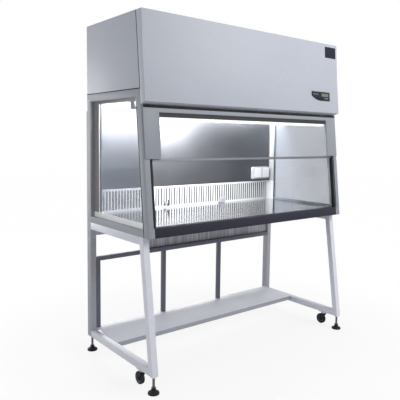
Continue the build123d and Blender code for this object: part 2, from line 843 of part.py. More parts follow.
filter_height = 78
filter_front = 640
filter_rear = 60
filter_border = 28
filter_recess = 10
filter_bar = 6
filter_bars = 5
filter_x = inner - seat_gap
filter_mid = (filter_front + filter_rear) / 2
filter_length = filter_front - filter_rear
with BuildPart() as supply_filter:
    with BuildSketch(Plane.XY.offset(z_ceiling)):
        with Locations((0, at(filter_mid))):
            Rectangle(2 * filter_x, filter_length)
    extrude(amount=filter_height)
    with BuildSketch(Plane.XY.offset(z_ceiling)):
        with Locations((0, at(filter_mid))):
            Rectangle(2 * (filter_x - filter_border), filter_length - 2 * filter_border)
            with GridLocations(2 * filter_x / (filter_bars + 1), 1, filter_bars, 1):
                Rectangle(filter_bar, filter_length, mode=Mode.SUBTRACT)
    extrude(amount=filter_recess, mode=Mode.SUBTRACT)
save(supply_filter, "supply_filter")

# ------------------------------------------------------------------ blower and its pressure box
plenum_height = 258
plenum_rear = 20
plenum_behind = 45
motor_radius = 65
motor_height = 70
shaft_radius = 12
shaft_length = 95
z_plenum = z_ceiling + filter_height + seat_gap
z_plenum_top = z_plenum + plenum_height
duct_width = 700
duct_height = 90
duct_rise = 110  # plenum's foot to the middle of the duct
plenum_outline = [
    (plenum_rear, z_plenum),
    (front_at(z_plenum, plenum_behind), z_plenum),
    (front_at(z_plenum_top, plenum_behind), z_plenum_top),
    (plenum_rear, z_plenum_top),
]
plenum_space = [
    (plenum_rear + sheet, z_plenum),
    (front_at(z_plenum, plenum_behind + sheet), z_plenum),
    (front_at(z_plenum_top, plenum_behind + sheet), z_plenum_top - sheet),
    (plenum_rear + sheet, z_plenum_top - sheet),
]
blower_depth = 330
with BuildPart() as plenum_box:
    with BuildSketch(Plane.YZ.offset(-inner + seat_gap)):
        with BuildLine():
            Polyline(*side_view(plenum_outline), close=True)
        make_face()
    extrude(amount=2 * (inner - seat_gap))
    with BuildSketch(Plane.YZ.offset(-inner + seat_gap + sheet)):
        with BuildLine():
            Polyline(*side_view(plenum_space), close=True)
        make_face()
    extrude(amount=2 * (inner - seat_gap - sheet), mode=Mode.SUBTRACT)
    with BuildSketch(Plane(origin=(0, at(plenum_rear), z_plenum + duct_rise), x_dir=(1, 0, 0), z_dir=(0, -1, 0))):
        Rectangle(duct_width, duct_height)
    extrude(amount=sheet, mode=Mode.SUBTRACT)
    with BuildSketch(Plane.XY.offset(z_plenum_top - sheet)):
        with Locations((0, at(blower_depth))):
            Circle(motor_radius)
    extrude(amount=-motor_height)
    with BuildSketch(Plane.XY.offset(z_plenum_top - sheet - motor_height)):
        with Locations((0, at(blower_depth))):
            Circle(shaft_radius)
    extrude(amount=-shaft_length)
save(plenum_box, "plenum_box")

impeller_radius = 130
inlet_radius = 82
impeller_plate = 3
blade_height = 70
blade_count = 9
blade_thickness = 2
blade_sweep = 40
impeller_drop = 12  # below the motor
impeller_hub_length = 30
z_impeller = z_plenum_top - sheet - motor_height - impeller_drop
with BuildPart() as blower_impeller:
    with BuildSketch(Plane.XY.offset(z_impeller)):
        with Locations((0, at(blower_depth))):
            Circle(impeller_radius)
            Circle(shaft_radius + running_clearance, mode=Mode.SUBTRACT)
    extrude(amount=-impeller_plate)
    with BuildSketch(Plane.XY.offset(z_impeller - impeller_plate)):
        with Locations((0, at(blower_depth))):
            Circle(2 * shaft_radius)
            Circle(shaft_radius + running_clearance, mode=Mode.SUBTRACT)
    extrude(amount=-impeller_hub_length)
    with BuildSketch(Plane.XY.offset(z_impeller - impeller_plate)):
        with Locations((0, at(blower_depth))):
            with PolarLocations((impeller_radius + inlet_radius) / 2, blade_count):
                with Locations(Rotation(0, 0, blade_sweep)):
                    Rectangle(impeller_radius - inlet_radius + 4, blade_thickness)
    extrude(amount=-blade_height)
    with BuildSketch(Plane.XY.offset(z_impeller - impeller_plate - blade_height)):
        with Locations((0, at(blower_depth))):
            Circle(impeller_radius)
            Circle(inlet_radius, mode=Mode.SUBTRACT)
    extrude(amount=-impeller_plate)
save(blower_impeller, "blower_impeller")

exhaust_width = 700
exhaust_length = 400
exhaust_height = 90
with BuildPart() as exhaust_filter:
    with BuildSketch(Plane.XY.offset(z_plenum_top)):
        with Locations((0, at(blower_depth))):
            Rectangle(exhaust_width, exhaust_length)
    extrude(amount=exhaust_height)
    with BuildSketch(Plane.XY.offset(z_plenum_top + exhaust_height)):
        with Locations((0, at(blower_depth))):
            Rectangle(exhaust_width - 2 * filter_border, exhaust_length - 2 * filter_border)
    extrude(amount=-filter_recess, mode=Mode.SUBTRACT)
save(exhaust_filter, "exhaust_filter")

# ------------------------------------------------------------------ outer panels of the canopy
z_cap = z_top - sheet
panel_outline = [
    (0, z_panel),
    (seam_at(z_panel) - joint_gap, z_panel),
    (seam_at(z_cap) - joint_gap, z_cap),
    (0, z_cap),
]
panel_space = [
    (sheet, z_panel + sheet),
    (seam_at(z_panel) - joint_gap - sheet, z_panel + sheet),
    (seam_at(z_cap) - joint_gap - sheet, z_cap - sheet),
    (sheet, z_cap - sheet),
]
for name, side in sides.items():
    with BuildPart() as side_panel:
        with BuildSketch(Plane.YZ.offset(side * inner)):
            with BuildLine():
                Polyline(*side_view(panel_outline), close=True)
            make_face()
        extrude(amount=side * tube_width)
        with BuildSketch(Plane.YZ.offset(side * inner)):
            with BuildLine():
                Polyline(*side_view(panel_space), close=True)
            make_face()
        extrude(amount=side * (tube_width - sheet), mode=Mode.SUBTRACT)
    save(side_panel, f"side_panel_{name}")

rear_panel = block(-inner + seat_gap, inner - seat_gap, 0, -sheet, z_seam, z_cap)
save(rear_panel, "rear_panel")

hinge_radius = 3
hinge_pin_radius = 1.5
hinge_half = 30
hinge_knuckle = 20
hinge_places = [-0.8 * inner, 0, 0.8 * inner]
hinge_rise = hinge_radius + joint_gap  # the pin's axis above the top panel
z_hinge = z_top + hinge_rise
hinge_y = at(seam_at(z_top))
exhaust_slot_width = 12
exhaust_slots = 24
with BuildPart() as top_panel:
    with BuildSketch(Plane.XY.offset(z_cap)):
        with Locations((0, at((seam_at(z_top) - joint_gap) / 2))):
            Rectangle(cabinet_width, seam_at(z_top) - joint_gap)
        with Locations((0, at(blower_depth))):
            with GridLocations(slot_pitch, 1, exhaust_slots, 1):
                Rectangle(exhaust_slot_width, exhaust_length - 2 * filter_border, mode=Mode.SUBTRACT)
    extrude(amount=sheet)
    for x in hinge_places:
        with BuildSketch(Plane.YZ.offset(x - hinge_half + hinge_knuckle + joint_gap)):
            with Locations((hinge_y, z_hinge)):
                Circle(hinge_radius)
            with Locations((hinge_y + hinge_radius / 2 + joint_gap, z_top + hinge_rise / 2)):
                Rectangle(hinge_radius, hinge_rise)
        extrude(amount=2 * (hinge_half - hinge_knuckle - joint_gap))
        with BuildSketch(Plane.YZ.offset(x - hinge_half)):
            with Locations((hinge_y, z_hinge)):
                Circle(hinge_pin_radius)
        extrude(amount=2 * hinge_half)
save(top_panel, "top_panel")

# ------------------------------------------------------------------ front cover, hinged along its top
z_fold = z_top - cover_fold_drop
z_cover = z_top - cover_foot_drop
z_return = z_cover - cover_return_drop
cover_outline = [
    (seam_at(z_top), z_top),
    (cover_top_reach, z_top),
    (cover_fold_reach, z_fold),
    (cover_foot_reach, z_cover),
    (seam_at(z_return), z_return),
]
with BuildPart() as front_cover:
    with BuildSketch(Plane.YZ.offset(-half)):
        with BuildLine():
            Polyline(*side_view(cover_outline), close=True)
        make_face()
    extrude(amount=cabinet_width)
    open_side = front_cover.faces().sort_by(Axis.Y)[-1]
    offset(amount=-sheet, openings=open_side)
    for x in hinge_places:
        for end in (-1, 1):
            with BuildSketch(Plane.YZ.offset(x + end * hinge_half)):
                with Locations((hinge_y, z_hinge)):
                    Circle(hinge_radius)
                with Locations((hinge_y - hinge_radius / 2 - joint_gap, z_top + hinge_rise / 2)):
                    Rectangle(hinge_radius, hinge_rise)
                with Locations((hinge_y, z_hinge)):
                    Circle(hinge_pin_radius + running_clearance, mode=Mode.SUBTRACT)
            extrude(amount=-end * hinge_knuckle)
save(front_cover, "front_cover")

# ------------------------------------------------------------------ controls and plate on the front cover


def facet(reach, z, upper_reach, upper_z):
    """Plane on one of the cover's flat facets: its y runs up the facet from the given edge."""
    run, rise = reach - upper_reach, upper_z - z
    slope = (run**2 + rise**2) ** 0.5
    return Plane(origin=(0, at(reach), z), x_dir=(1, 0, 0), z_dir=(0, -rise / slope, run / slope))


lower_facet = facet(cover_foot_reach, z_cover, cover_fold_reach, z_fold)
upper_facet = facet(cover_fold_reach, z_fold, cover_top_reach, z_top)

console_margin = 220  # cabinet's side to the middle of the console
console_x = half - console_margin
console_width = 214
console_foot = 92  # cover's foot to the console's lower edge, up the facet
console_height = 68
console_thickness = 5
console_flank = 32  # height of the console's left edge
console_sweep = 95  # width of its rounded lower left corner
sweep_across, sweep_up = 34.2, 16.32  # middle of that corner's arc
button_radius = 7
button_pitch = 21
button_travel = 1
button_proud = 1.5
button_gap = 0.3
button_floor = 1
button_margin = 20
button_drop = 21
button_start = button_margin - console_width / 2
button_row = console_height - button_drop
display_width = 84
display_height = 24
display_x = 48
display_row = console_height - display_height
x_left = console_x - console_width / 2
x_right = console_x + console_width / 2
y_low = console_foot
y_high = console_foot + console_height
button_places = [(console_x + button_start + step * button_pitch, y_low + button_row) for step in range(3)]
display_place = (console_x + display_x, y_low + display_row)
with BuildPart() as console:
    with BuildSketch(lower_facet):
        with BuildLine():
            Polyline(
                (x_left, y_high - console_flank),
                (x_left, y_high),
                (x_right, y_high),
                (x_right, y_low),
                (x_left + console_sweep, y_low),
            )
            ThreePointArc(
                (x_left + console_sweep, y_low),
                (x_left + sweep_across, y_low + sweep_up),
                (x_left, y_high - console_flank),
            )
        make_face()
    extrude(amount=console_thickness)
    with BuildSketch(lower_facet.offset(button_floor)):
        with Locations(*button_places):
            Circle(button_radius + button_gap)
        with Locations(display_place):
            Rectangle(display_width + 2 * button_gap, display_height + 2 * button_gap)
    extrude(amount=console_thickness, mode=Mode.SUBTRACT)
save(console, "control_console")

with BuildPart() as display:
    with BuildSketch(lower_facet.offset(button_floor)):
        with Locations(display_place):
            Rectangle(display_width, display_height)
    extrude(amount=console_thickness - button_floor - button_gap)
save(display, "console_display")

for number, place in enumerate(button_places, start=1):
    with BuildPart() as button:
        with BuildSketch(lower_facet.offset(button_floor + button_travel + button_gap)):
            with Locations(place):
                Circle(button_radius)
        extrude(amount=console_thickness + button_proud - button_floor - button_travel - button_gap)
    save(button, f"console_button_{number}")

plate_margin = 84  # cabinet's side to the middle of the plate
plate_x = half - plate_margin
plate_width = 132
plate_height = 86
plate_drop = 23  # cover's top edge down to the plate
plate_thickness = 1
upper_length = ((cover_fold_reach - cover_top_reach) ** 2 + cover_fold_drop**2) ** 0.5
with BuildPart() as blank_plate:
    with BuildSketch(upper_facet):
        with Locations((plate_x, upper_length - plate_drop - plate_height / 2)):
            Rectangle(plate_width, plate_height)
    extrude(amount=plate_thickness)
save(blank_plate, "blank_plate")
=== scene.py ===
import json
from math import atan2, cos, pi, radians, sin

import bpy
from bpy.props import FloatProperty, FloatVectorProperty, IntProperty, PointerProperty
from bpy.types import Operator, Panel, PropertyGroup
from mathutils import Matrix, Vector


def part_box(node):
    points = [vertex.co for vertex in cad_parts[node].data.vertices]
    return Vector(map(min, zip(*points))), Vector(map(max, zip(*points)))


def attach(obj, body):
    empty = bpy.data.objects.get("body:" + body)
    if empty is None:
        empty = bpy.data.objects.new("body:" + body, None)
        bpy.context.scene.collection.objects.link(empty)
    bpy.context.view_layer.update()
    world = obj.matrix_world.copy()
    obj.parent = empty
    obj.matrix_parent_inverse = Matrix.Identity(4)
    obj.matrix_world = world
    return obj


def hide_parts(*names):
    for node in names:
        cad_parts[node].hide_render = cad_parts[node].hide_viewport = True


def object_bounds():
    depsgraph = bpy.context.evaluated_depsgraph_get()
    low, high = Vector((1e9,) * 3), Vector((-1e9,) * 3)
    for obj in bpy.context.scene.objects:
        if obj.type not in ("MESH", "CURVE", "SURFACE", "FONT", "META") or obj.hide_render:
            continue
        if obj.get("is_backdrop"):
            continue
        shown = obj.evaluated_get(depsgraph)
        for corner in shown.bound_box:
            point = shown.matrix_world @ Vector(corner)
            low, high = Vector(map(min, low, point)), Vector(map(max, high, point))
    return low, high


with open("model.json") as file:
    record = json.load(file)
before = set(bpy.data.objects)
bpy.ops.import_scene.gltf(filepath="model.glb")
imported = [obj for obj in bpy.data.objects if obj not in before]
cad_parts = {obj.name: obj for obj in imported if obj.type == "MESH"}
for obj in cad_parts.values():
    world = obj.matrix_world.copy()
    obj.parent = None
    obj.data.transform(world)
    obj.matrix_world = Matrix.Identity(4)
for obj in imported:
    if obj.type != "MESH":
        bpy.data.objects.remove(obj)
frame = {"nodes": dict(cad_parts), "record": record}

bl_info = {
    "name": "Clean Bench Finishing",
    "version": (1, 0, 0),
    "blender": (4, 5, 0),
    "location": "View3D > Sidebar > Bench",
    "description": "Finishes a laminar flow clean bench and sets it on a pale studio floor",
    "category": "Object",
}

SIDES = {"left": -1, "right": 1}
FRONT_LEAN = radians(6.5)  # the cabinet's front plane, back from upright
COVER_RETURN = 0.017  # height of the cover's turned-in foot
COVER_LEAN = atan2(0.026, 0.257)  # lower facet of the cover
SHARP = radians(30)  # edges that turn by more than this are rounded
TRIM_GAP = 0.0002  # between a trim strip and the pane under it
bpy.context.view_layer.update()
HOLDER = {node: body for body, nodes in frame["record"]["behaviour"]["bodies"].items() for node in nodes}


# ---------------------------------------------------------------- shader building


class Signal:
    """One shader output, which can be added, subtracted and multiplied."""

    def __init__(self, finish, socket):
        self.finish = finish
        self.socket = socket

    def __add__(self, other):
        return self.finish.sum("ADD", self, other)

    def __sub__(self, other):
        return self.finish.sum("SUBTRACT", self, other)

    def __mul__(self, other):
        return self.finish.sum("MULTIPLY", self, other)

    def __radd__(self, other):
        return self.finish.sum("ADD", other, self)

    def __rsub__(self, other):
        return self.finish.sum("SUBTRACT", other, self)


class Finish:
    """One procedural material. Constants go on the shader's own sockets."""

    def __init__(self, name, **constants):
        self.material = bpy.data.materials.new(name)
        self.material.use_nodes = True
        self.tree = self.material.node_tree
        self.surface = self.tree.nodes["Principled BSDF"]
        for socket, value in constants.items():
            self.surface.inputs[socket.replace("_", " ")].default_value = value
        coordinates = self.tree.nodes.new("ShaderNodeTexCoord")
        self.place = Signal(self, coordinates.outputs["Object"])

    def put(self, socket, value):
        """Link a signal to an input, or set it."""
        if isinstance(value, Signal):
            self.tree.links.new(value.socket, socket)
        else:
            socket.default_value = value

    def node(self, kind, settings=None, output=0, **inputs):
        """Add a node with its settings first and then its inputs, and give back one of its outputs."""
        made = self.tree.nodes.new("ShaderNode" + kind)
        for name, value in (settings or {}).items():
            if name == "stops":
                ramp = made.color_ramp.elements
                while len(ramp) < len(value):
                    ramp.new(0.5)
                for element, (position, colour) in zip(ramp, value):
                    element.position = position
                    element.color = colour
            else:
                setattr(made, name, value)
        for name, value in inputs.items():
            key = int(name[1:]) if name[0] == "i" and name[1:].isdigit() else name.replace("_", " ")
            self.put(made.inputs[key], value)
        return Signal(self, made.outputs[output])

    def sum(self, operation, first, second):
        """One Math node."""
        return self.node("Math", {"operation": operation}, i0=first, i1=second)

    def noise(self, scale, detail=3.0, roughness=0.55, place=None):
        """Soft noise, about 0.5 on average, with features of one over the scale in metres."""
        place = place or self.place
        return self.node("TexNoise", Vector=place, Scale=scale, Detail=detail, Roughness=roughness)

    def vector(self, operation, first, second=(0.0, 0.0, 0.0)):
        """One Vector Math node. A length or a dot product comes out as a number."""
        output = "Value" if operation in ("LENGTH", "DOT_PRODUCT") else "Vector"
        return self.node("VectorMath", {"operation": operation}, output, i0=first, i1=second)

    def stretched(self, x, y, z):
        """Object coordinates stretched along each axis."""
        return self.vector("MULTIPLY", self.place, (x, y, z))

    def axis(self, name):
        """One of the object's coordinates, in metres."""
        return self.node("SeparateXYZ", output="XYZ".index(name), i0=self.place)

    def step(self, value, low, high):
        """Smooth rise from 0 at low to 1 at high."""
        settings = {"interpolation_type": "SMOOTHSTEP"}
        return self.node("MapRange", settings, Value=value, From_Min=low, From_Max=high)

    def blend(self, factor, first, second):
        """Mix of two colours."""
        return self.node("Mix", {"data_type": "RGBA"}, output=2, i0=factor, i6=first, i7=second)

    def tint(self, colour, amount):
        """Colour with its brightness moved by a signal that is 0.5 on average."""
        return self.blend(amount, shade(colour, 0.86), shade(colour, 1.1))

    def set(self, **values):
        """Feed the shader's inputs."""
        for name, value in values.items():
            self.put(self.surface.inputs[name.replace("_", " ")], value)

    def bump(self, height, strength, distance):
        """Relief from a height signal."""
        self.set(Normal=self.node("Bump", Strength=strength, Distance=distance, Height=height))

    def orange_peel(self):
        """Fine relief of a sprayed coat."""
        self.bump(self.noise(420.0, 2.0), 0.12, 0.0004)

    def specks(self):
        """Fine specks of a sprayed coat."""
        return self.noise(95.0, 6.0, 0.7)

    def sprayed(self, colour, specks):
        """A sprayed coat's colour, with its specks and a slow drift of tone."""
        return self.tint(colour, self.noise(3.0, 4.0) * 0.6 + specks * 0.4)

    def brushing(self):
        """Fine lines that run along X."""
        return self.noise(1.0, 3.0, 0.6, self.stretched(5.0, 900.0, 900.0))


def shade(colour, factor):
    """Colour made darker or lighter, with its alpha kept."""
    return (*(min(1.0, channel * factor) for channel in colour[:3]), 1.0)


# ---------------------------------------------------------------- finishes


def powder_coat(name, colour, roughness=0.52, scuffs=0.0):
    """Sprayed powder coat: orange-peel relief, faint drift of tone and scuffs near the floor."""
    finish = Finish(name, Coat_Weight=0.05, Coat_Roughness=0.4)
    drift = finish.noise(3.0, 4.0)
    speck = finish.step(finish.noise(120.0, 6.0, 0.75), 0.3, 0.7)
    tone = finish.tint(colour, drift * 0.5 + speck * 0.5)
    if scuffs:
        low = 1.0 - finish.step(finish.axis("Z"), 0.1, 0.5)
        marks = finish.step(finish.noise(28.0, 6.0, 0.75), 0.6, 0.72) * low * scuffs
        tone = finish.blend(marks, tone, shade(colour, 0.6))
    finish.set(Base_Color=tone, Roughness=roughness + (drift - 0.5) * 0.12 + (speck - 0.5) * 0.1)
    finish.orange_peel()
    return finish.material


def rear_frame_shaded_coat(name, shaded_lower, upper, rail_top):
    """Powder coat on the rear frame: painted shade below its light rail, a dark slate for the cabinet's
    shadow; above it, light and dark vertical streaks on the faces that look forward.
    """
    finish = Finish(name, Coat_Weight=0.1)
    above = finish.step(finish.axis("Z"), rail_top - 0.001, rail_top + 0.001)
    specks = finish.specks()
    streaks = finish.noise(1.0, 2.0, 0.5, finish.stretched(75.0, 75.0, 0.5))
    facing = finish.node("SeparateXYZ", output=1, i0=finish.node("NewGeometry", output="Normal"))
    front = (1.0 - finish.step(facing, -0.8, -0.2)) * 0.5
    # Light and dark vertical streaks on forward-looking faces above the light rail, an even mid tone
    # elsewhere.
    streak_level = finish.step(streaks, 0.38, 0.62) * front + (0.5 - front * 0.5)
    streaked_tone = finish.blend(streak_level, shade(upper, 0.45), shade(upper, 1.3))
    # Painted shade: the slate below the light rail stands in for the cabinet's shadow on the rear frame.
    finish.set(
        Base_Color=finish.blend(above, finish.tint(shaded_lower, specks), streaked_tone),
        Roughness=0.45 + (specks - 0.5) * 0.12,
    )
    finish.orange_peel()
    return finish.material


def shelf_coat_shaded_lip(name, colour, lip):
    """Powder coat on the shelf, with painted shade on the face of its front fold."""
    low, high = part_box("lower_shelf")
    finish = Finish(name, Coat_Weight=0.12, Coat_Roughness=0.3)
    front = 1.0 - finish.step(finish.axis("Y"), low.y + 0.001, low.y + 0.002)
    under = 1.0 - finish.step(finish.axis("Z"), high.z - 0.006, high.z - 0.005)
    specks = finish.specks()
    # Painted shade: the front fold's face is darkened to stand in for the shadow on it.
    fold = finish.tint(shade(colour, lip), specks)
    finish.set(
        Base_Color=finish.blend(front * under, finish.sprayed(colour, specks), fold),
        Roughness=0.45 + (specks - 0.5) * 0.1,
    )
    finish.orange_peel()
    return finish.material


def brushed_steel(name, colour, roughness=0.3, strength=0.12):
    """Brushed stainless sheet: fine lines along X, faint handling marks."""
    finish = Finish(name, Metallic=1.0)
    lines = finish.brushing()
    smear = finish.noise(5.0, 5.0, 0.65)
    finish.set(
        Base_Color=finish.tint(colour, lines * 0.5 + smear * 0.5),
        Roughness=roughness + (lines - 0.5) * 0.16 + (smear - 0.5) * 0.14,
    )
    finish.bump(lines, strength, 0.0003)
    return finish.material


def steel_lining_lit_ends(name, colour, white):
    """Brushed steel lining whose turned-in ends carry painted reflection: a pale, non-metallic band
    standing in for the bright light the steel returns reflect.
    """
    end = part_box("back_wall")[1].x
    finish = Finish(name)
    from_middle = finish.node("Math", {"operation": "ABSOLUTE"}, i0=finish.axis("X"))
    # Painted reflection: the turned-in ends are made pale and non-metallic to stand in for the light they
    # reflect.
    corner = finish.step(from_middle, end - 0.012, end - 0.006)
    lines = finish.brushing()
    smear = finish.noise(5.0, 5.0, 0.65)
    steel = finish.tint(colour, lines * 0.15 + smear * 0.85)
    finish.set(
        Base_Color=finish.blend(corner, steel, finish.tint(shade(white, 0.5), smear)),
        Metallic=1.0 - corner,
        Roughness=0.46 + (lines - 0.5) * 0.05 + (smear - 0.5) * 0.06,
    )
    finish.bump(lines, 0.02, 0.0001)
    return finish.material


def moulding(name, colour, roughness=0.4, grain=300.0):
    """Moulded plastic with a fine spark-eroded grain; the dark ones are less shiny."""
    finish = Finish(name, Specular_IOR_Level=0.15 if max(colour[:3]) < 0.1 else 0.5)
    texture = finish.noise(grain, 3.0)
    dust = finish.noise(14.0, 5.0, 0.7)
    finish.set(
        Base_Color=finish.tint(colour, dust * 0.7 + texture * 0.3),
        Roughness=roughness + (dust - 0.5) * 0.2,
    )
    finish.bump(texture, 0.18, 0.0003)
    return finish.material


def galvanised(name, colour):
    """Zinc coated sheet with crystal spangle."""
    finish = Finish(name, Metallic=0.85)
    crystals = finish.node("TexVoronoi", output="Color", Vector=finish.place, Scale=70.0)
    level = finish.node("SeparateXYZ", i0=crystals)
    finish.set(Base_Color=finish.tint(colour, level), Roughness=0.35 + level * 0.22)
    finish.bump(finish.noise(160.0, 3.0), 0.08, 0.0003)
    return finish.material


def fascia_coat(name, colour, rubber):
    """Powder coat on the fascia, black rubber on the wiper lip behind the front plane."""
    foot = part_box("front_post_left")[0]
    outwards = (0.0, -cos(FRONT_LEAN), sin(FRONT_LEAN))
    finish = Finish(name)
    from_foot = finish.vector("SUBTRACT", finish.place, (0.0, foot.y, foot.z))
    painted = finish.step(finish.vector("DOT_PRODUCT", from_foot, outwards), 0.0003, 0.0009)
    specks = finish.specks()
    finish.set(
        Base_Color=finish.blend(painted, finish.tint(rubber, specks), finish.sprayed(colour, specks)),
        Roughness=0.5 + (specks - 0.5) * 0.15,
    )
    finish.orange_peel()
    return finish.material


def pad_and_stem(name, moulded, plated, stem_foot):
    """Black moulded foot pad with a zinc plated stem above a level."""
    finish = Finish(name, Specular_IOR_Level=0.15)
    stem = finish.step(finish.axis("Z"), stem_foot - 0.0005, stem_foot)
    grain = finish.noise(240.0, 4.0, 0.7)
    bands = {"bands_direction": "Z"}
    threads = finish.node("TexWave", bands, output="Fac", Vector=finish.place, Scale=90.0)
    finish.set(
        Base_Color=finish.blend(stem, finish.tint(moulded, grain), finish.tint(plated, grain)),
        Metallic=stem,
        Roughness=0.5 - stem * 0.25,
    )
    finish.bump(grain * (1.0 - stem) + threads * stem, 0.4, 0.0006)
    return finish.material


def clear_pane(name, colour, cover):
    """Toughened glass: mostly clear, with faint smears that catch the light."""
    finish = Finish(name, IOR=1.5)
    smear = finish.noise(4.0, 5.0, 0.7, finish.stretched(1.0, 1.0, 0.35))
    finish.set(
        Base_Color=finish.tint(colour, smear),
        Roughness=0.03 + finish.step(smear, 0.55, 0.8) * 0.12,
        Alpha=cover + finish.step(smear, 0.5, 0.8) * cover * 0.2,
    )
    return finish.material


def polished(name, colour):
    """Polished plating with faint water spots."""
    finish = Finish(name, Metallic=1.0)
    spots = finish.noise(190.0, 4.0, 0.7)
    dulled = finish.step(spots, 0.5, 0.8) * 0.2
    finish.set(Base_Color=finish.tint(colour, spots), Roughness=0.08 + dulled)
    return finish.material


def tyre_and_hub(name, side):
    """Caster wheel: dark tread, paler ring and dark middle, told apart by distance from the axle."""
    low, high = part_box(f"caster_wheel_{side}")
    finish = Finish(name, Specular_IOR_Level=0.25)
    offset = finish.vector("SUBTRACT", finish.place, (low + high) / 2)
    radius = finish.vector("LENGTH", finish.vector("MULTIPLY", offset, (0.0, 1.0, 1.0)))
    dust = finish.noise(40.0, 5.0, 0.7)
    middle = finish.tint((0.03, 0.032, 0.05, 1.0), dust)
    ring = finish.tint((0.16, 0.17, 0.24, 1.0), dust)
    tread = finish.tint((0.022, 0.022, 0.024, 1.0), dust)
    ring_edge, tyre_edge = (0.021, 0.0225), (0.0268, 0.0274)
    hub = finish.blend(finish.step(radius, *ring_edge), middle, ring)
    tyre = finish.step(radius, *tyre_edge)
    finish.set(Base_Color=finish.blend(tyre, hub, tread), Roughness=0.45 + tyre * 0.3)
    finish.bump(finish.noise(260.0, 4.0, 0.7), 0.25, 0.0005)
    return finish.material


def lamp_body(name, lens_top, glow):
    """White enamelled lamp whose lens glows below a level."""
    finish = Finish(name, Emission_Strength=glow)
    lens = 1.0 - finish.step(finish.axis("Z"), lens_top - 0.001, lens_top)
    ribs = finish.noise(1.0, 1.0, 0.5, finish.stretched(300.0, 0.0, 0.0))
    soot = finish.noise(9.0, 5.0)
    lit = finish.tint((0.97, 0.99, 1.0, 1.0), ribs)
    finish.set(
        Base_Color=finish.tint((0.8, 0.81, 0.82, 1.0), soot),
        Roughness=0.35 + soot * 0.15,
        Emission_Color=finish.blend(lens, (0.0, 0.0, 0.0, 1.0), lit),
    )
    finish.bump(ribs, 0.05, 0.0003)
    return finish.material


def lit_window(name):
    """Green tinted display with a darker segment field and a faint glow."""
    finish = Finish(name, Emission_Strength=0.15, Coat_Weight=0.3)
    cells = finish.node("TexBrick", output="Fac", Vector=finish.place, Scale=90.0, Mortar_Size=0.02)
    base = finish.blend(cells, (0.05, 0.085, 0.07, 1.0), (0.1, 0.16, 0.13, 1.0))
    tone = finish.blend(finish.noise(60.0, 3.0), base, (0.16, 0.24, 0.2, 1.0))
    finish.set(Base_Color=tone, Emission_Color=tone, Roughness=0.2 + cells * 0.05)
    return finish.material


def pleated_paper(name):
    """White glass-fibre filter paper."""
    finish = Finish(name, Roughness=0.9)
    fibre = finish.noise(700.0, 5.0, 0.7)
    finish.set(Base_Color=finish.tint((0.82, 0.82, 0.8, 1.0), fibre))
    finish.bump(fibre, 0.3, 0.0004)
    return finish.material


def plain_paint(name, colour, roughness=0.5):
    """Small painted detail with a little grain."""
    finish = Finish(name)
    grain = finish.noise(500.0, 3.0)
    finish.set(Base_Color=finish.tint(colour, grain), Roughness=roughness + (grain - 0.5) * 0.1)
    finish.bump(grain, 0.1, 0.0002)
    return finish.material


# ---------------------------------------------------------------- modelling helpers


def select_only(obj):
    """Select one object and make it active."""
    bpy.ops.object.select_all(action="DESELECT")
    obj.select_set(True)
    bpy.context.view_layer.objects.active = obj


def settle(obj):
    """Put a piece's place, turn and size into its mesh."""
    select_only(obj)
    bpy.ops.object.transform_apply(location=True, rotation=True, scale=True)
    return obj


def apply_modifiers(obj):
    """Apply what finishes a piece."""
    select_only(obj)
    for modifier in list(obj.modifiers):
        bpy.ops.object.modifier_apply(modifier=modifier.name)


def round_edges(obj, width):
    """Round a piece's sharp edges."""
    edges = obj.modifiers.new("edges", "BEVEL")
    edges.width = width
    edges.segments = 2
    edges.limit_method = "ANGLE"
    edges.angle_limit = SHARP
    apply_modifiers(obj)
    bpy.ops.object.shade_smooth_by_angle(angle=SHARP)
    return obj


def pick_faces(obj, test):
    """Enter edit mode with the faces chosen whose direction passes a test."""
    select_only(obj)
    bpy.context.tool_settings.mesh_select_mode = (False, False, True)
    mesh = obj.data
    for item in (*mesh.vertices, *mesh.edges, *mesh.polygons):
        item.select = False
    for face in mesh.polygons:
        face.select = test(face.normal)
    bpy.ops.object.mode_set(mode="EDIT")


def leave_edit():
    """Back to object mode."""
    bpy.ops.object.mode_set(mode="OBJECT")


def inset_faces(obj, test, width, depth):
    """Inset the faces whose direction passes a test, then raise them by a depth, or sink them."""
    pick_faces(obj, test)
    bpy.ops.mesh.inset(thickness=width, depth=depth)
    leave_edit()


def fit(obj, body, material, replaced=()):
    """Give a finished piece its finish, and the body that carries it."""
    obj.data.materials.clear()
    obj.data.materials.append(material)
    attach(obj, body)
    if replaced:
        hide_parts(*replaced)
    return obj


def slab(name, low, high, matrix=None):
    """Block between two corners, in a plane's own axes where one is given."""
    low, high = Vector(low), Vector(high)
    bpy.ops.object.select_all(action="DESELECT")
    bpy.ops.mesh.primitive_cube_add(size=1, location=(low + high) / 2, scale=high - low)
    obj = bpy.context.object
    obj.name = name
    settle(obj)
    if matrix:
        obj.matrix_world = matrix
        settle(obj)
    return obj


def disc(name, radius, depth, sides):
    """Round blank whose flat faces look along Y."""
    bpy.ops.object.select_all(action="DESELECT")
    bpy.ops.mesh.primitive_cylinder_add(
        vertices=sides, radius=radius, depth=depth, location=(0, 0, 0), rotation=(pi / 2, 0, 0)
    )
    obj = bpy.context.object
    obj.name = name
    return settle(obj)


def joined(name, objects):
    """One piece from several like ones."""
    bpy.ops.object.select_all(action="DESELECT")
    for obj in objects:
        obj.select_set(True)
    bpy.context.view_layer.objects.active = objects[0]
    bpy.ops.object.join()
    objects[0].name = name
    return objects[0]


def copies(obj, places):
    """A piece repeated at each place, each copy with its own mesh; the piece itself is removed."""
    made = []
    for place in places:
        twin = bpy.data.objects.new(obj.name, obj.data.copy())
        bpy.context.collection.objects.link(twin)
        twin.data.transform(Matrix.Translation(place))
        made.append(twin)
    bpy.data.objects.remove(obj)
    return made


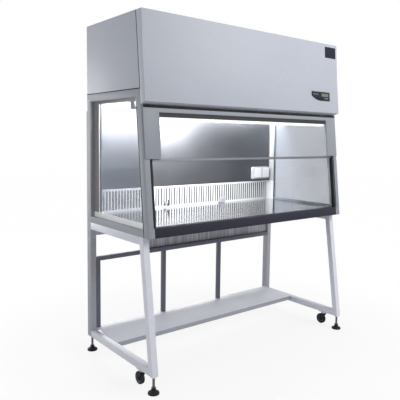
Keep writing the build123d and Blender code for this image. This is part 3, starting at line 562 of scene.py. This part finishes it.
def plane_at(origin, lean):
    """Axes of a leaning front plane: x across, y up the slope, z outwards."""
    across = Vector((1, 0, 0))
    up = Vector((0, sin(lean), cos(lean)))
    out = across.cross(up)
    return Matrix.Translation(origin) @ Matrix((across, up, out)).transposed().to_4x4()


def rounded_copy(node, width):
    """A CAD node's shape with its facets merged and its edges rounded, in place of the node."""
    obj = bpy.data.objects.new(f"{node}_shell", frame["nodes"][node].data.copy())
    bpy.context.collection.objects.link(obj)
    select_only(obj)
    bpy.ops.mesh.customdata_custom_splitnormals_clear()
    pick_faces(obj, lambda normal: True)
    bpy.ops.mesh.remove_doubles(threshold=0.00001)
    bpy.ops.mesh.dissolve_limited(angle_limit=radians(0.5))
    leave_edit()
    return round_edges(obj, width)


def finish_nodes(material, *nodes, edge=0.0):
    """Give CAD nodes a finish, with rounded edges where a width is given."""
    for node in nodes:
        if edge:
            fit(rounded_copy(node, edge), HOLDER[node], material, [node])
        else:
            frame["nodes"][node].data.materials.clear()
            frame["nodes"][node].data.materials.append(material)


def pair(stem):
    """Names of a left and a right node."""
    return f"{stem}_left", f"{stem}_right"


def screw_head(name, radius):
    """Pan head with a round socket, facing the negative side of Y."""
    head = disc(name, radius, radius * 0.6, 24)
    pick_faces(head, lambda normal: normal.y < -0.9)
    bpy.ops.mesh.inset(thickness=radius * 0.45)
    bpy.ops.mesh.inset(thickness=radius * 0.02, depth=-radius * 0.35)
    leave_edit()
    return round_edges(head, radius * 0.18)


# ---------------------------------------------------------------- settings


class BenchSizes(PropertyGroup):
    """Sizes of the finishing details."""

    tube_edge: FloatProperty(
        name="Tube edge", description="Rounding along the stand's tubes", default=0.003, unit="LENGTH"
    )
    panel_edge: FloatProperty(
        name="Panel edge", description="Rounding along folded panels", default=0.0009, unit="LENGTH"
    )
    gasket_width: FloatProperty(
        name="Gasket width", description="Width of the window gaskets", default=0.011, unit="LENGTH"
    )
    gasket_rise: FloatProperty(
        name="Gasket rise", description="How far the gaskets stand proud", default=0.002, unit="LENGTH"
    )
    screw_radius: FloatProperty(
        name="Screw radius", description="Radius of the panel screws' heads", default=0.0045, unit="LENGTH"
    )
    pleats: IntProperty(name="Pleats", description="Pleats in each bay of the filter", default=60, min=4)


class BenchColours(PropertyGroup):
    """Colours of the finishes."""

    cabinet: FloatVectorProperty(
        name="Cabinet", description="Powder coat of the cabinet", subtype="COLOR", size=4,
        default=(0.475, 0.5, 0.565, 1.0),
    )
    stand: FloatVectorProperty(
        name="Stand", description="Powder coat of the stand", subtype="COLOR", size=4,
        default=(0.72, 0.735, 0.81, 1.0),
    )
    frame: FloatVectorProperty(
        name="Frame", description="Darker coat of the fascia and the front posts", subtype="COLOR", size=4,
        default=(0.29, 0.31, 0.35, 1.0),
    )
    # Painted shade: this dark slate stands in for the shadow the cabinet casts on the rear frame.
    rear_shade_slate: FloatVectorProperty(
        name="Slate", description="Dark coat of the rear frame", subtype="COLOR", size=4,
        default=(0.12, 0.125, 0.17, 1.0),
    )
    sill: FloatVectorProperty(
        name="Sill", description="Dark coat of the front sill", subtype="COLOR", size=4,
        default=(0.03, 0.03, 0.045, 1.0),
    )
    steel: FloatVectorProperty(
        name="Steel", description="Brushed stainless steel", subtype="COLOR", size=4,
        default=(0.13, 0.134, 0.15, 1.0),
    )
    rubber: FloatVectorProperty(
        name="Rubber", description="Black mouldings, feet and seals", subtype="COLOR", size=4,
        default=(0.02, 0.02, 0.022, 1.0),
    )
    white: FloatVectorProperty(
        name="White", description="White mouldings", subtype="COLOR", size=4,
        default=(0.76, 0.78, 0.8, 1.0),
    )


class StageSettings(PropertyGroup):
    """Camera, lamps and floor."""

    eye: FloatVectorProperty(
        name="Camera place", description="Where the camera stands", subtype="TRANSLATION",
        default=(-2.557, -2.912, 1.5575),
    )
    yaw: FloatProperty(
        name="Yaw", description="Turn of the view from straight back", subtype="ANGLE",
        default=radians(38.63),
    )
    pitch: FloatProperty(
        name="Pitch", description="Tilt of the view, down below zero", subtype="ANGLE",
        default=radians(-5.18),
    )
    roll: FloatProperty(
        name="Roll", description="Turn of the picture", subtype="ANGLE", default=radians(0.77)
    )
    lens: FloatProperty(name="Lens", description="Focal length in millimetres", default=45.95)
    shift_across: FloatProperty(
        name="Shift across", description="Sideways camera shift", default=-0.002
    )
    shift_up: FloatProperty(name="Shift up", description="Upward camera shift", default=-0.039)
    world_light: FloatProperty(
        name="World light", description="Level of the surrounding light", default=0.32
    )
    key_light: FloatProperty(
        name="Key light", description="Power of the main lamp", default=190.0, unit="POWER"
    )
    fill_light: FloatProperty(
        name="Fill light", description="Power of the fill lamp", default=34.0, unit="POWER"
    )
    back_light: FloatProperty(
        name="Back light", description="Power of the rear lamp", default=170.0, unit="POWER"
    )
    chamber_light: FloatProperty(
        name="Chamber light", description="Power of the lamp in the chamber", default=30.0, unit="POWER"
    )
    wall_light: FloatProperty(
        name="Wall light", description="Power of the lamp at the wall's head", default=18.0, unit="POWER"
    )


# ---------------------------------------------------------------- operators


class BenchOperator(Operator):
    """Shared ground of the bench's operators."""

    bl_options = {"REGISTER", "UNDO"}

    @property
    def sizes(self):
        return bpy.context.scene.bench_sizes

    @property
    def colours(self):
        return bpy.context.scene.bench_colours


class BENCH_OT_stand(BenchOperator):
    """Powder coat and round the stand's tubes, and cap the rear uprights"""

    bl_idname = "bench.stand"
    bl_label = "Stand"

    def execute(self, context):
        stand, rubber = self.colours.stand, self.colours.rubber
        edge = self.sizes.tube_edge / 2
        light_rail_top = 0.7
        # Painted shade: the rear uprights are coated darker to stand in for the shadow under the cabinet.
        upright_painted_shade = 0.52
        coat = powder_coat("stand_coat", stand, roughness=0.45, scuffs=0.5)
        finish_nodes(coat, *pair("side_top_rail"), *pair("side_bottom_rail"), edge=edge)
        apron = shade(stand, 0.7)
        # Painted shade on the rear frame below its light rail.
        rail = rear_frame_shaded_coat("rear_frame_shaded_coat", self.colours.rear_shade_slate, apron, light_rail_top)
        finish_nodes(rail, "rear_frame", edge=edge)
        finish_nodes(coat, *pair("front_leg"))
        # Painted shade on the rear uprights.
        shaded_upright_colour = shade(stand, upright_painted_shade)
        upright = powder_coat("shaded_upright_coat", shaded_upright_colour, roughness=0.45, scuffs=0.5)
        finish_nodes(upright, *pair("rear_upright"))
        # Painted shade on the shelf's front lip, darkened by the lip factor.
        shelf = shelf_coat_shaded_lip("shelf_coat_shaded_lip", stand, lip=0.5)
        finish_nodes(shelf, "lower_shelf", edge=self.sizes.panel_edge)
        self.caps(moulding("tube_plug", rubber, 0.5))
        return {"FINISHED"}

    def caps(self, material):
        """Plugs with a raised middle in the rear uprights' tops."""
        inset, rise = 0.0015, 0.004
        for name in SIDES:
            low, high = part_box(f"rear_upright_{name}")
            cap = slab(
                f"upright_cap_{name}",
                (low.x + inset, low.y + inset, high.z),
                (high.x - inset, high.y - inset, high.z + rise),
            )
            inset_faces(cap, lambda normal: normal.z > 0.9, width=0.004, depth=0.001)
            fit(round_edges(cap, 0.0012), "cabinet", material)


class BENCH_OT_running_gear(BenchOperator):
    """Finish the levelling feet, their locknuts and the casters"""

    bl_idname = "bench.running_gear"
    bl_label = "Feet and Casters"

    def execute(self, context):
        pad_top = 0.04
        stem_zinc = (0.14, 0.145, 0.16, 1.0)
        foot = pad_and_stem("foot_moulding", self.colours.rubber, stem_zinc, pad_top)
        finish_nodes(foot, *(f"foot_{place}_{side}" for place in ("front", "rear") for side in SIDES))
        zinc = galvanised("zinc_plating", (0.5, 0.51, 0.53, 1.0))
        finish_nodes(zinc, "foot_locknuts", *pair("caster_plate"))
        fork = moulding("fork_enamel", (0.025, 0.025, 0.028, 1.0), 0.35)
        finish_nodes(fork, *pair("caster_fork"))
        for name in SIDES:
            finish_nodes(tyre_and_hub(f"wheel_{name}", name), f"caster_wheel_{name}")
        return {"FINISHED"}


class BENCH_OT_chamber(BenchOperator):
    """Finish the work chamber's walls, floor, sill and windows"""

    bl_idname = "bench.chamber"
    bl_label = "Work Chamber"

    def execute(self, context):
        colours, edge = self.colours, self.sizes.panel_edge
        # Painted shade: the window frames are coated darker than the cabinet to stand in for the shade
        # round the side windows.
        shaded_side_coat = powder_coat("window_frame_shaded_coat", shade(colours.cabinet, 0.66))
        finish_nodes(shaded_side_coat, *pair("side_frame"), edge=edge)
        finish_nodes(powder_coat("post_coat", colours.frame), *pair("front_post"), edge=edge)
        finish_nodes(moulding("sill_coat", colours.sill, 0.6), "front_sill", edge=edge * 2)
        # Painted reflection on the lining's turned-in ends.
        finish_nodes(steel_lining_lit_ends("wall_steel", colours.steel, colours.white), "back_wall")
        finish_nodes(powder_coat("grille_coat", (0.62, 0.63, 0.64, 1.0), 0.35), "return_grille")
        worktop = brushed_steel("worktop_steel", (0.5, 0.51, 0.53, 1.0), roughness=0.14, strength=0.05)
        finish_nodes(worktop, "worktop")
        finish_nodes(brushed_steel("pan_steel", colours.steel, 0.4), "drip_pan")
        pane = clear_pane("side_pane", (0.27, 0.31, 0.38, 1.0), cover=0.42)
        finish_nodes(pane, *pair("side_glass"))
        self.gaskets(moulding("gasket_rubber", (0.88, 0.88, 0.88, 1.0), 0.6))
        white = powder_coat("bead_white", (0.92, 0.92, 0.92, 1.0))
        # Painted shade: the dark beads stand in for the shaded reveal round each side window.
        self.beads(white, powder_coat("bead_shaded_grey", (0.24, 0.23, 0.225, 1.0)))
        # Painted shade behind the grille's slots.
        self.shade_sheet(moulding("shade_sheet_black", (0.025, 0.026, 0.03, 1.0), 0.7))
        return {"FINISHED"}

    def shade_sheet(self, material):
        """Near-black sheet just behind the return grille: painted shade that stands in for the dark air
        gap behind its slots.
        """
        low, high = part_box("return_grille")
        end, foot, head = 0.066, 0.004, 0.002  # what it leaves free of the grille
        front = high.y + 0.0008
        sheet = slab(
            "grille_shade_sheet",
            (low.x + end, front, low.z + foot),
            (high.x - end, front + 0.0012, high.z - head),
        )
        inset_faces(sheet, lambda normal: abs(normal.y) > 0.9, width=0.004, depth=-0.0001)
        fit(round_edges(sheet, 0.0003), "cabinet", material)

    def pane_corners(self, name):
        """Corners of a side pane."""
        return [Vector(vertex.co) for vertex in frame["nodes"][f"side_glass_{name}"].data.vertices]

    def beads(self, white, reveal_shade):
        """Glazing beads outside the side panes: a white one at the foot, and dark ones at the rear,
        with a white line beside it, and at the head; the dark ones are painted shade of the window reveal.
        """
        foot_rise, rear_width, head_drop, line_width = 0.036, 0.066, 0.02, 0.005
        inset, front_inset = 0.003, 0.004
        for name, side in SIDES.items():
            corners = self.pane_corners(name)
            foot = min(c.z for c in corners) + inset
            head = max(c.z for c in corners) - inset
            rear = max(c.y for c in corners) - inset
            front = min(c.y for c in corners) + front_inset
            head_front = min(c.y for c in corners if c.z > head) + front_inset
            face = max(abs(c.x) for c in corners)
            foot_top = foot + foot_rise
            head_foot = head - head_drop
            line_rear = rear - rear_width
            line_front = line_rear - line_width
            beads = {
                "foot": (front, foot, rear, foot_top, 0.005, white),
                "rear": (line_rear, foot_top, rear, head, 0.004, reveal_shade),
                "rear_line": (line_front, foot_top, line_rear, head_foot, 0.003, white),
                "head": (head_front, head_foot, line_rear, head, 0.004, reveal_shade),
            }
            for label, (start, low, end, high, thickness, material) in beads.items():
                inner, outer = sorted((side * (face + TRIM_GAP), side * (face + thickness)))
                bead = slab(f"window_bead_{label}_{name}", (inner, start, low), (outer, end, high))
                inset_faces(bead, lambda normal: side * normal.x > 0.9, width=0.0015, depth=-0.0005)
                fit(round_edges(bead, 0.0004), "cabinet", material)

    def gaskets(self, material):
        """Flexible beads that hold the side panes."""
        width, rise = self.sizes.gasket_width, self.sizes.gasket_rise
        for name, side in SIDES.items():
            corners = self.pane_corners(name)
            rear = max(c.y for c in corners)
            low, high = min(c.z for c in corners), max(c.z for c in corners)
            front = {z: min(c.y for c in corners if abs(c.z - z) < 0.001) for z in (low, high)}
            face = max(abs(c.x) for c in corners)
            bpy.ops.object.select_all(action="DESELECT")
            bpy.ops.mesh.primitive_plane_add(size=2)
            bead = bpy.context.object
            bead.name = f"window_gasket_{name}"
            ring = {
                (-1, -1): (rear, low),
                (1, -1): (front[low], low),
                (1, 1): (front[high], high),
                (-1, 1): (rear, high),
            }
            for vertex in bead.data.vertices:
                y, z = ring[round(vertex.co.x), round(vertex.co.y)]
                vertex.co = (side * (face + TRIM_GAP), y, z)
            pick_faces(bead, lambda normal: True)
            bpy.ops.mesh.inset(thickness=width)
            bpy.ops.mesh.delete(type="FACE")
            leave_edit()
            wall = bead.modifiers.new("wall", "SOLIDIFY")
            wall.thickness = rise
            wall.offset = 0
            apply_modifiers(bead)
            bead.data.transform(Matrix.Translation((side * rise / 2, 0, 0)))
            pick_faces(bead, lambda normal: True)
            bpy.ops.mesh.normals_make_consistent(inside=False)
            leave_edit()
            fit(round_edges(bead, rise * 0.35), "cabinet", material)


class BENCH_OT_sash(BenchOperator):
    """Finish the sliding pane, its handle, guides and the fascia round it"""

    bl_idname = "bench.sash"
    bl_label = "Sash"

    def execute(self, context):
        colours = self.colours
        finish_nodes(clear_pane("sash_pane", (0.32, 0.37, 0.38, 1.0), cover=0.05), "sash_glass")
        finish_nodes(brushed_steel("handle_steel", (0.16, 0.165, 0.18, 1.0), 0.45), "sash_handle")
        finish_nodes(moulding("guide_moulding", colours.rubber, 0.5), *pair("sash_guide"))
        coat = fascia_coat("fascia_coat", colours.frame, colours.rubber)
        finish_nodes(coat, "sash_fascia", edge=self.sizes.panel_edge)
        # The same black moulding serves the painted shadow strip and the real side seals.
        self.seals(moulding("opening_rubber_and_shadow_strip", colours.rubber, 0.6))
        return {"FINISHED"}

    def seals(self, material):
        """A black strip at the fascia's head, painted shadow under the cover's foot, and rubber seals down
        both sides of the opening.
        """
        post_low, post_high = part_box("front_post_left")
        low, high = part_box("sash_fascia")
        front = plane_at((0, post_low.y, post_low.z), FRONT_LEAN)
        sill, foot, head = (
            (z - post_low.z) / cos(FRONT_LEAN) for z in (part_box("front_sill")[1].z, low.z, high.z)
        )
        end_gap, height, fascia_face, fascia_proud = 0.002, 0.015, 0.0075, 0.0023
        top = head - 0.001
        # Painted shadow: a black strip on the fascia's face stands in for the shade under the cover's
        # foot.
        shadow_strip = slab(
            "fascia_shadow_strip",
            (low.x + end_gap, top - height, fascia_face),
            (high.x - end_gap, top, fascia_face + fascia_proud),
            front,
        )
        fit(round_edges(shadow_strip, 0.0008), "cabinet", material)
        width, sunk, proud, foot_gap = 0.006, 0.001, 0.0016, 0.004
        for name, side in SIDES.items():
            edge = abs(post_high.x) * side
            inner, outer = sorted((edge, edge + side * width))
            strip = slab(
                f"opening_seal_{name}", (inner, sill, -sunk), (outer, foot - foot_gap, proud), front
            )
            fit(round_edges(strip, proud * 0.4), "cabinet", material)


class BENCH_OT_fittings(BenchOperator):
    """Finish the sockets, the service valve and the small terminal box"""

    bl_idname = "bench.fittings"
    bl_label = "Fittings"

    def execute(self, context):
        white = self.colours.white
        finish_nodes(moulding("socket_moulding", white, 0.3, grain=500.0), *pair("socket_flap"))
        finish_nodes(moulding("box_moulding", shade(white, 0.5), grain=500.0), "socket_box")
        finish_nodes(moulding("terminal_moulding", (0.3, 0.31, 0.33, 1.0), 0.4), "terminal_box")
        finish_nodes(polished("valve_plating", (0.7, 0.71, 0.73, 1.0)), "service_valve")
        lever = moulding("lever_moulding", (0.02, 0.02, 0.02, 1.0), 0.35)
        finish_nodes(lever, "valve_handle", edge=0.0015)
        return {"FINISHED"}


class BENCH_OT_lamps(BenchOperator):
    """Finish the lamps and the filters, and pleat the filters' paper"""

    bl_idname = "bench.lamps"
    bl_label = "Lamps and Filters"

    def execute(self, context):
        lens_height, glow = 0.02, 1.2
        lamp = lamp_body("lamp_enamel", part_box("chamber_lamp")[0].z + lens_height, glow)
        finish_nodes(lamp, "chamber_lamp")
        finish_nodes(moulding("tube_glass", (0.75, 0.78, 0.82, 1.0), 0.2), "uv_lamp")
        alloy = brushed_steel("filter_alloy", (0.7, 0.71, 0.72, 1.0), 0.4)
        finish_nodes(alloy, "supply_filter", "exhaust_filter")
        paper = pleated_paper("filter_paper")
        fold, recess = 0.006, 0.002
        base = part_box("supply_filter")[0].z + recess
        self.media("supply_filter", base, fold, self.sizes.pleats * 5, paper)
        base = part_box("exhaust_filter")[1].z - recess - fold
        self.media("exhaust_filter", base, fold, self.sizes.pleats * 2, paper)
        return {"FINISHED"}

    def media(self, node, base, fold, pleats, material):
        """Sheet of paper folded to and fro inside a filter's frame."""
        border = 0.03
        low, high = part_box(node)
        length, depth = high.x - low.x - 2 * border, high.y - low.y - 2 * border
        centre = Vector(((low.x + high.x) / 2, (low.y + high.y) / 2, base))
        bpy.ops.object.select_all(action="DESELECT")
        bpy.ops.mesh.primitive_grid_add(
            x_subdivisions=2 * pleats, y_subdivisions=1, size=1, location=centre
        )
        paper = bpy.context.object
        paper.name = f"{node}_media"
        paper.scale = (length, depth, 1)
        settle(paper)
        pitch = length / (2 * pleats)
        start = centre.x - length / 2
        for vertex in paper.data.vertices:
            vertex.co.z += fold * (round((vertex.co.x - start) / pitch) % 2)
        wall = paper.modifiers.new("wall", "SOLIDIFY")
        wall.thickness = 0.0004
        apply_modifiers(paper)
        fit(paper, "cabinet", material)


class BENCH_OT_canopy(BenchOperator):
    """Finish the canopy's panels, cover and box, screw the rear panel on and seal the joints"""

    bl_idname = "bench.canopy"
    bl_label = "Canopy"

    def execute(self, context):
        colours, edge = self.colours, self.sizes.panel_edge
        coat = powder_coat("canopy_coat", colours.cabinet)
        finish_nodes(coat, *pair("side_panel"), "top_panel", "rear_panel", edge=edge)
        finish_nodes(powder_coat("cover_coat", colours.cabinet), "front_cover", edge=edge)
        zinc = galvanised("box_zinc", (0.45, 0.46, 0.48, 1.0))
        finish_nodes(zinc, "plenum_box", "blower_impeller")
        self.rear_screws()
        self.seams(moulding("seam_rubber", colours.rubber, 0.6))
        return {"FINISHED"}

    def seams(self, material):
        """Rubber strips in the joints between the side panels, the side frames and the front."""
        post_depth = 0.0555
        panel_low, panel_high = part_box("side_panel_left")
        post_low, post_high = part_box("front_post_left")
        panel_front = Vector((0, panel_low.y, panel_low.z))
        panel_rear = Vector((0, panel_high.y, panel_low.z))
        cover_top = Vector((0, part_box("top_panel")[0].y, panel_high.z))
        post_foot = Vector((0, post_low.y + post_depth, post_low.z))
        lean = Vector((0, sin(FRONT_LEAN), cos(FRONT_LEAN)))
        lines = {
            "cover_seam": (panel_front, cover_top),
            "panel_seam": (panel_front, panel_rear),
            "post_seam": (post_foot, post_foot + lean * (post_high.z - post_low.z)),
        }
        for label, (start, end) in lines.items():
            for name, side in SIDES.items():
                strip = self.strip(f"{label}_{name}", start, end, side * abs(panel_low.x))
                fit(strip, "cabinet", material)

    def strip(self, name, start, end, face):
        """Thin rounded strip along a line on one side of the cabinet."""
        half_width, proud, end_gap = 0.0028, 0.0008, 0.001
        along = end - start
        foot = (-proud, -half_width, end_gap)
        strip = slab(name, foot, (proud, half_width, along.length - end_gap))
        upright = Matrix.Rotation(atan2(-along.y, along.z), 4, "X")
        strip.matrix_world = Matrix.Translation((face, start.y, start.z)) @ upright
        settle(strip)
        return round_edges(strip, proud * 0.6)

    def rear_screws(self):
        """Screws round the rear panel's edge."""
        radius = self.sizes.screw_radius
        low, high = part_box("rear_panel")
        margin, across, up = 0.012, 9, 7
        head = screw_head("rear_screw", radius)
        head.data.transform(Matrix.Rotation(pi, 4, "Z"))
        places = []
        for step in range(across):
            x = low.x + margin + step * (high.x - low.x - 2 * margin) / (across - 1)
            places += [(x, high.y + radius * 0.2, z) for z in (low.z + margin, high.z - margin)]
        for step in range(1, up):
            z = low.z + margin + step * (high.z - low.z - 2 * margin) / up
            places += [(x, high.y + radius * 0.2, z) for x in (low.x + margin, high.x - margin)]
        screws = joined("rear_panel_screws", copies(head, places))
        fit(screws, "cabinet", polished("screw_plating", (0.6, 0.61, 0.63, 1.0)))


class BENCH_OT_console(BenchOperator):
    """Finish the control console, its display and keys, and the plain plate"""

    bl_idname = "bench.console"
    bl_label = "Console"

    def execute(self, context):
        face = moulding("console_face", (0.012, 0.013, 0.02, 1.0), 0.4)
        finish_nodes(face, "control_console", edge=0.0012)
        finish_nodes(lit_window("display_window"), "console_display")
        keys = moulding("key_moulding", (0.14, 0.15, 0.18, 1.0), 0.4)
        finish_nodes(keys, *(f"console_button_{number}" for number in (1, 2, 3)), edge=0.0008)
        finish_nodes(moulding("plate_face", (0.007, 0.009, 0.022, 1.0), 0.5), "blank_plate")
        self.small_keys()
        return {"FINISHED"}

    def small_keys(self):
        """Three small square keys and a red pilot lamp on the console's face."""
        console_low, console_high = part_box("control_console")
        cover_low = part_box("front_cover")[0]
        fold = cover_low.z + COVER_RETURN
        facet = plane_at((0, cover_low.y, fold), COVER_LEAN)
        foot = (console_low.z - fold) / cos(COVER_LEAN)
        right, pitch = console_high.x - 0.03, 0.017
        keys = [
            self.key("small_key", facet, right - step * pitch, foot + 0.012, size=0.01, proud=0.0015)
            for step in range(3)
        ]
        piece = joined("console_small_keys", [round_edges(key, 0.0004) for key in keys])
        face = plain_paint("small_key_face", (0.22, 0.24, 0.25, 1.0))
        fit(piece, "front_cover", face)
        middle = console_high.x - 0.098
        pilot = self.key("console_pilot", facet, middle, foot + 0.04, size=0.006, proud=0.002)
        lamp = plain_paint("pilot_lamp", (0.7, 0.05, 0.04, 1.0), 0.3)
        fit(round_edges(pilot, 0.0009), "front_cover", lamp)

    def key(self, name, facet, middle, foot, size, proud):
        """Square block that stands proud of the console's face."""
        face = 0.005
        low = (middle - size / 2, foot, face)
        return slab(name, low, (middle + size / 2, foot + size, face + proud), facet)


class BENCH_OT_stage(BenchOperator):
    """Set the floor, the lights and the camera"""

    bl_idname = "bench.stage"
    bl_label = "Stage"

    def execute(self, context):
        settings = context.scene.bench_stage
        self.floor()
        self.world(settings.world_light)
        low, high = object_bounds()
        middle = (Vector(low) + Vector(high)) / 2
        self.lamp("key_lamp", (2.2, -4.2, 4.2), middle, 3.0, 3.0, settings.key_light)
        self.lamp("fill_lamp", (-4.5, -0.5, 2.6), middle, 3.0, 2.5, settings.fill_light)
        self.lamp("back_lamp", (0.3, 4.6, 1.3), (0, 0, 0.3), 7.0, 2.2, settings.back_light)
        lamp_low, lamp_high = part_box("chamber_lamp")
        start = Vector((-0.34, lamp_high.y + 0.12, lamp_low.z + 0.02))
        self.lamp("chamber_glow", start, start + Vector((0, 1, 0)), 0.95, 0.18, settings.chamber_light)
        wall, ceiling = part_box("back_wall")[1].y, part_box("supply_filter")[0].z
        start = (0, wall - 0.14, ceiling - 0.012)
        self.lamp("wall_wash", start, (0, wall, ceiling - 0.1), 1.68, 0.03, settings.wall_light)
        self.camera(settings)
        return {"FINISHED"}

    def floor(self):
        """Pale floor that runs out into a white surround and keeps the bench's shadow."""
        bpy.ops.object.select_all(action="DESELECT")
        bpy.ops.mesh.primitive_plane_add(size=40)
        floor = bpy.context.object
        floor.name = "studio_floor"
        finish = Finish("studio_floor", Roughness=0.7)
        tone = finish.noise(2.0, 4.0)
        finish.set(Base_Color=finish.tint((0.86, 0.86, 0.86, 1.0), tone * 0.3 + 0.35))
        away = finish.step(finish.vector("LENGTH", finish.place), 0.9, 2.2)
        seen = Signal(finish, finish.tree.nodes.new("ShaderNodeLightPath").outputs["Is Camera Ray"])
        white = finish.node("Emission", Color=(1.0, 1.0, 1.0, 1.0), Strength=1.0)
        body = Signal(finish, finish.surface.outputs[0])
        mixed = finish.node("MixShader", i0=(away * 0.15 + 0.84) * seen, i1=body, i2=white)
        finish.put(finish.tree.nodes["Material Output"].inputs["Surface"], mixed)
        floor.data.materials.append(finish.material)
        floor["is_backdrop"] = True

    def world(self, level):
        """Even surround, plain white to the camera, in reflections and through glass."""
        world = bpy.data.worlds.new("studio")
        bpy.context.scene.world = world
        world.use_nodes = True
        tree = world.node_tree
        ambient = tree.nodes["Background"]
        ambient.inputs["Color"].default_value = (0.97, 0.98, 1.0, 1.0)
        ambient.inputs["Strength"].default_value = level
        white = tree.nodes.new("ShaderNodeBackground")
        white.inputs["Color"].default_value = (1.0, 1.0, 1.0, 1.0)
        white.inputs["Strength"].default_value = 1.0
        rays = tree.nodes.new("ShaderNodeLightPath")
        chosen = rays.outputs["Is Camera Ray"]
        for name in ("Is Glossy Ray", "Is Transmission Ray"):
            either = tree.nodes.new("ShaderNodeMath")
            either.operation = "MAXIMUM"
            tree.links.new(chosen, either.inputs[0])
            tree.links.new(rays.outputs[name], either.inputs[1])
            chosen = either.outputs[0]
        mixed = tree.nodes.new("ShaderNodeMixShader")
        tree.links.new(chosen, mixed.inputs[0])
        tree.links.new(ambient.outputs[0], mixed.inputs[1])
        tree.links.new(white.outputs[0], mixed.inputs[2])
        tree.links.new(mixed.outputs[0], tree.nodes["World Output"].inputs["Surface"])

    def lamp(self, name, place, target, width, height, power):
        """Soft rectangular lamp aimed at a point."""
        light = bpy.data.lights.new(name, "AREA")
        light.shape = "RECTANGLE"
        light.size = width
        light.size_y = height
        light.energy = power
        obj = bpy.data.objects.new(name, light)
        bpy.context.collection.objects.link(obj)
        obj.location = place
        obj.rotation_euler = (Vector(target) - Vector(place)).to_track_quat("-Z", "Y").to_euler()

    def camera(self, settings):
        """Camera turned by its yaw, pitch and roll."""
        lens = bpy.data.cameras.new("camera")
        camera = bpy.data.objects.new("camera", lens)
        bpy.context.collection.objects.link(camera)
        yaw, pitch, roll = settings.yaw, settings.pitch, settings.roll
        ahead = Vector((sin(yaw) * cos(pitch), cos(yaw) * cos(pitch), sin(pitch)))
        level = Vector((cos(yaw), -sin(yaw), 0))
        up = level.cross(ahead)
        right = cos(roll) * level + sin(roll) * up
        top = cos(roll) * up - sin(roll) * level
        turn = Matrix((right, top, -ahead)).transposed().to_4x4()
        camera.matrix_world = Matrix.Translation(settings.eye) @ turn
        lens.sensor_width = 36.0
        lens.lens = settings.lens
        lens.shift_x = settings.shift_across
        lens.shift_y = settings.shift_up
        bpy.context.scene.camera = camera
        bpy.context.scene.view_settings.view_transform = "Standard"


class BENCH_PT_panel(Panel):
    """Lists the bench's pieces in the order in which they are made"""

    bl_idname = "BENCH_PT_panel"
    bl_label = "Clean Bench"
    bl_space_type = "VIEW_3D"
    bl_region_type = "UI"
    bl_category = "Bench"

    def draw(self, context):
        column = self.layout.column()
        for group in ("bench_sizes", "bench_colours", "bench_stage"):
            settings = getattr(context.scene, group)
            for name in settings.__annotations__:
                column.prop(settings, name)
        for operator in STEPS:
            column.operator(operator.bl_idname)


STEPS = (
    BENCH_OT_stage,
    BENCH_OT_stand,
    BENCH_OT_running_gear,
    BENCH_OT_chamber,
    BENCH_OT_sash,
    BENCH_OT_fittings,
    BENCH_OT_lamps,
    BENCH_OT_canopy,
    BENCH_OT_console,
)
CLASSES = (BenchSizes, BenchColours, StageSettings, *STEPS, BENCH_PT_panel)


def register():
    """Register the classes and hang the settings on the scene."""
    for kind in CLASSES:
        bpy.utils.register_class(kind)
    bpy.types.Scene.bench_sizes = PointerProperty(type=BenchSizes)
    bpy.types.Scene.bench_colours = PointerProperty(type=BenchColours)
    bpy.types.Scene.bench_stage = PointerProperty(type=StageSettings)


def unregister():
    """Take the settings and the classes away again."""
    del bpy.types.Scene.bench_sizes
    del bpy.types.Scene.bench_colours
    del bpy.types.Scene.bench_stage
    for kind in reversed(CLASSES):
        bpy.utils.unregister_class(kind)


def main():
    """Run the steps in order."""
    register()
    for step in STEPS:
        group, name = step.bl_idname.split(".")
        getattr(getattr(bpy.ops, group), name)()


if __name__ == "__main__":
    main()
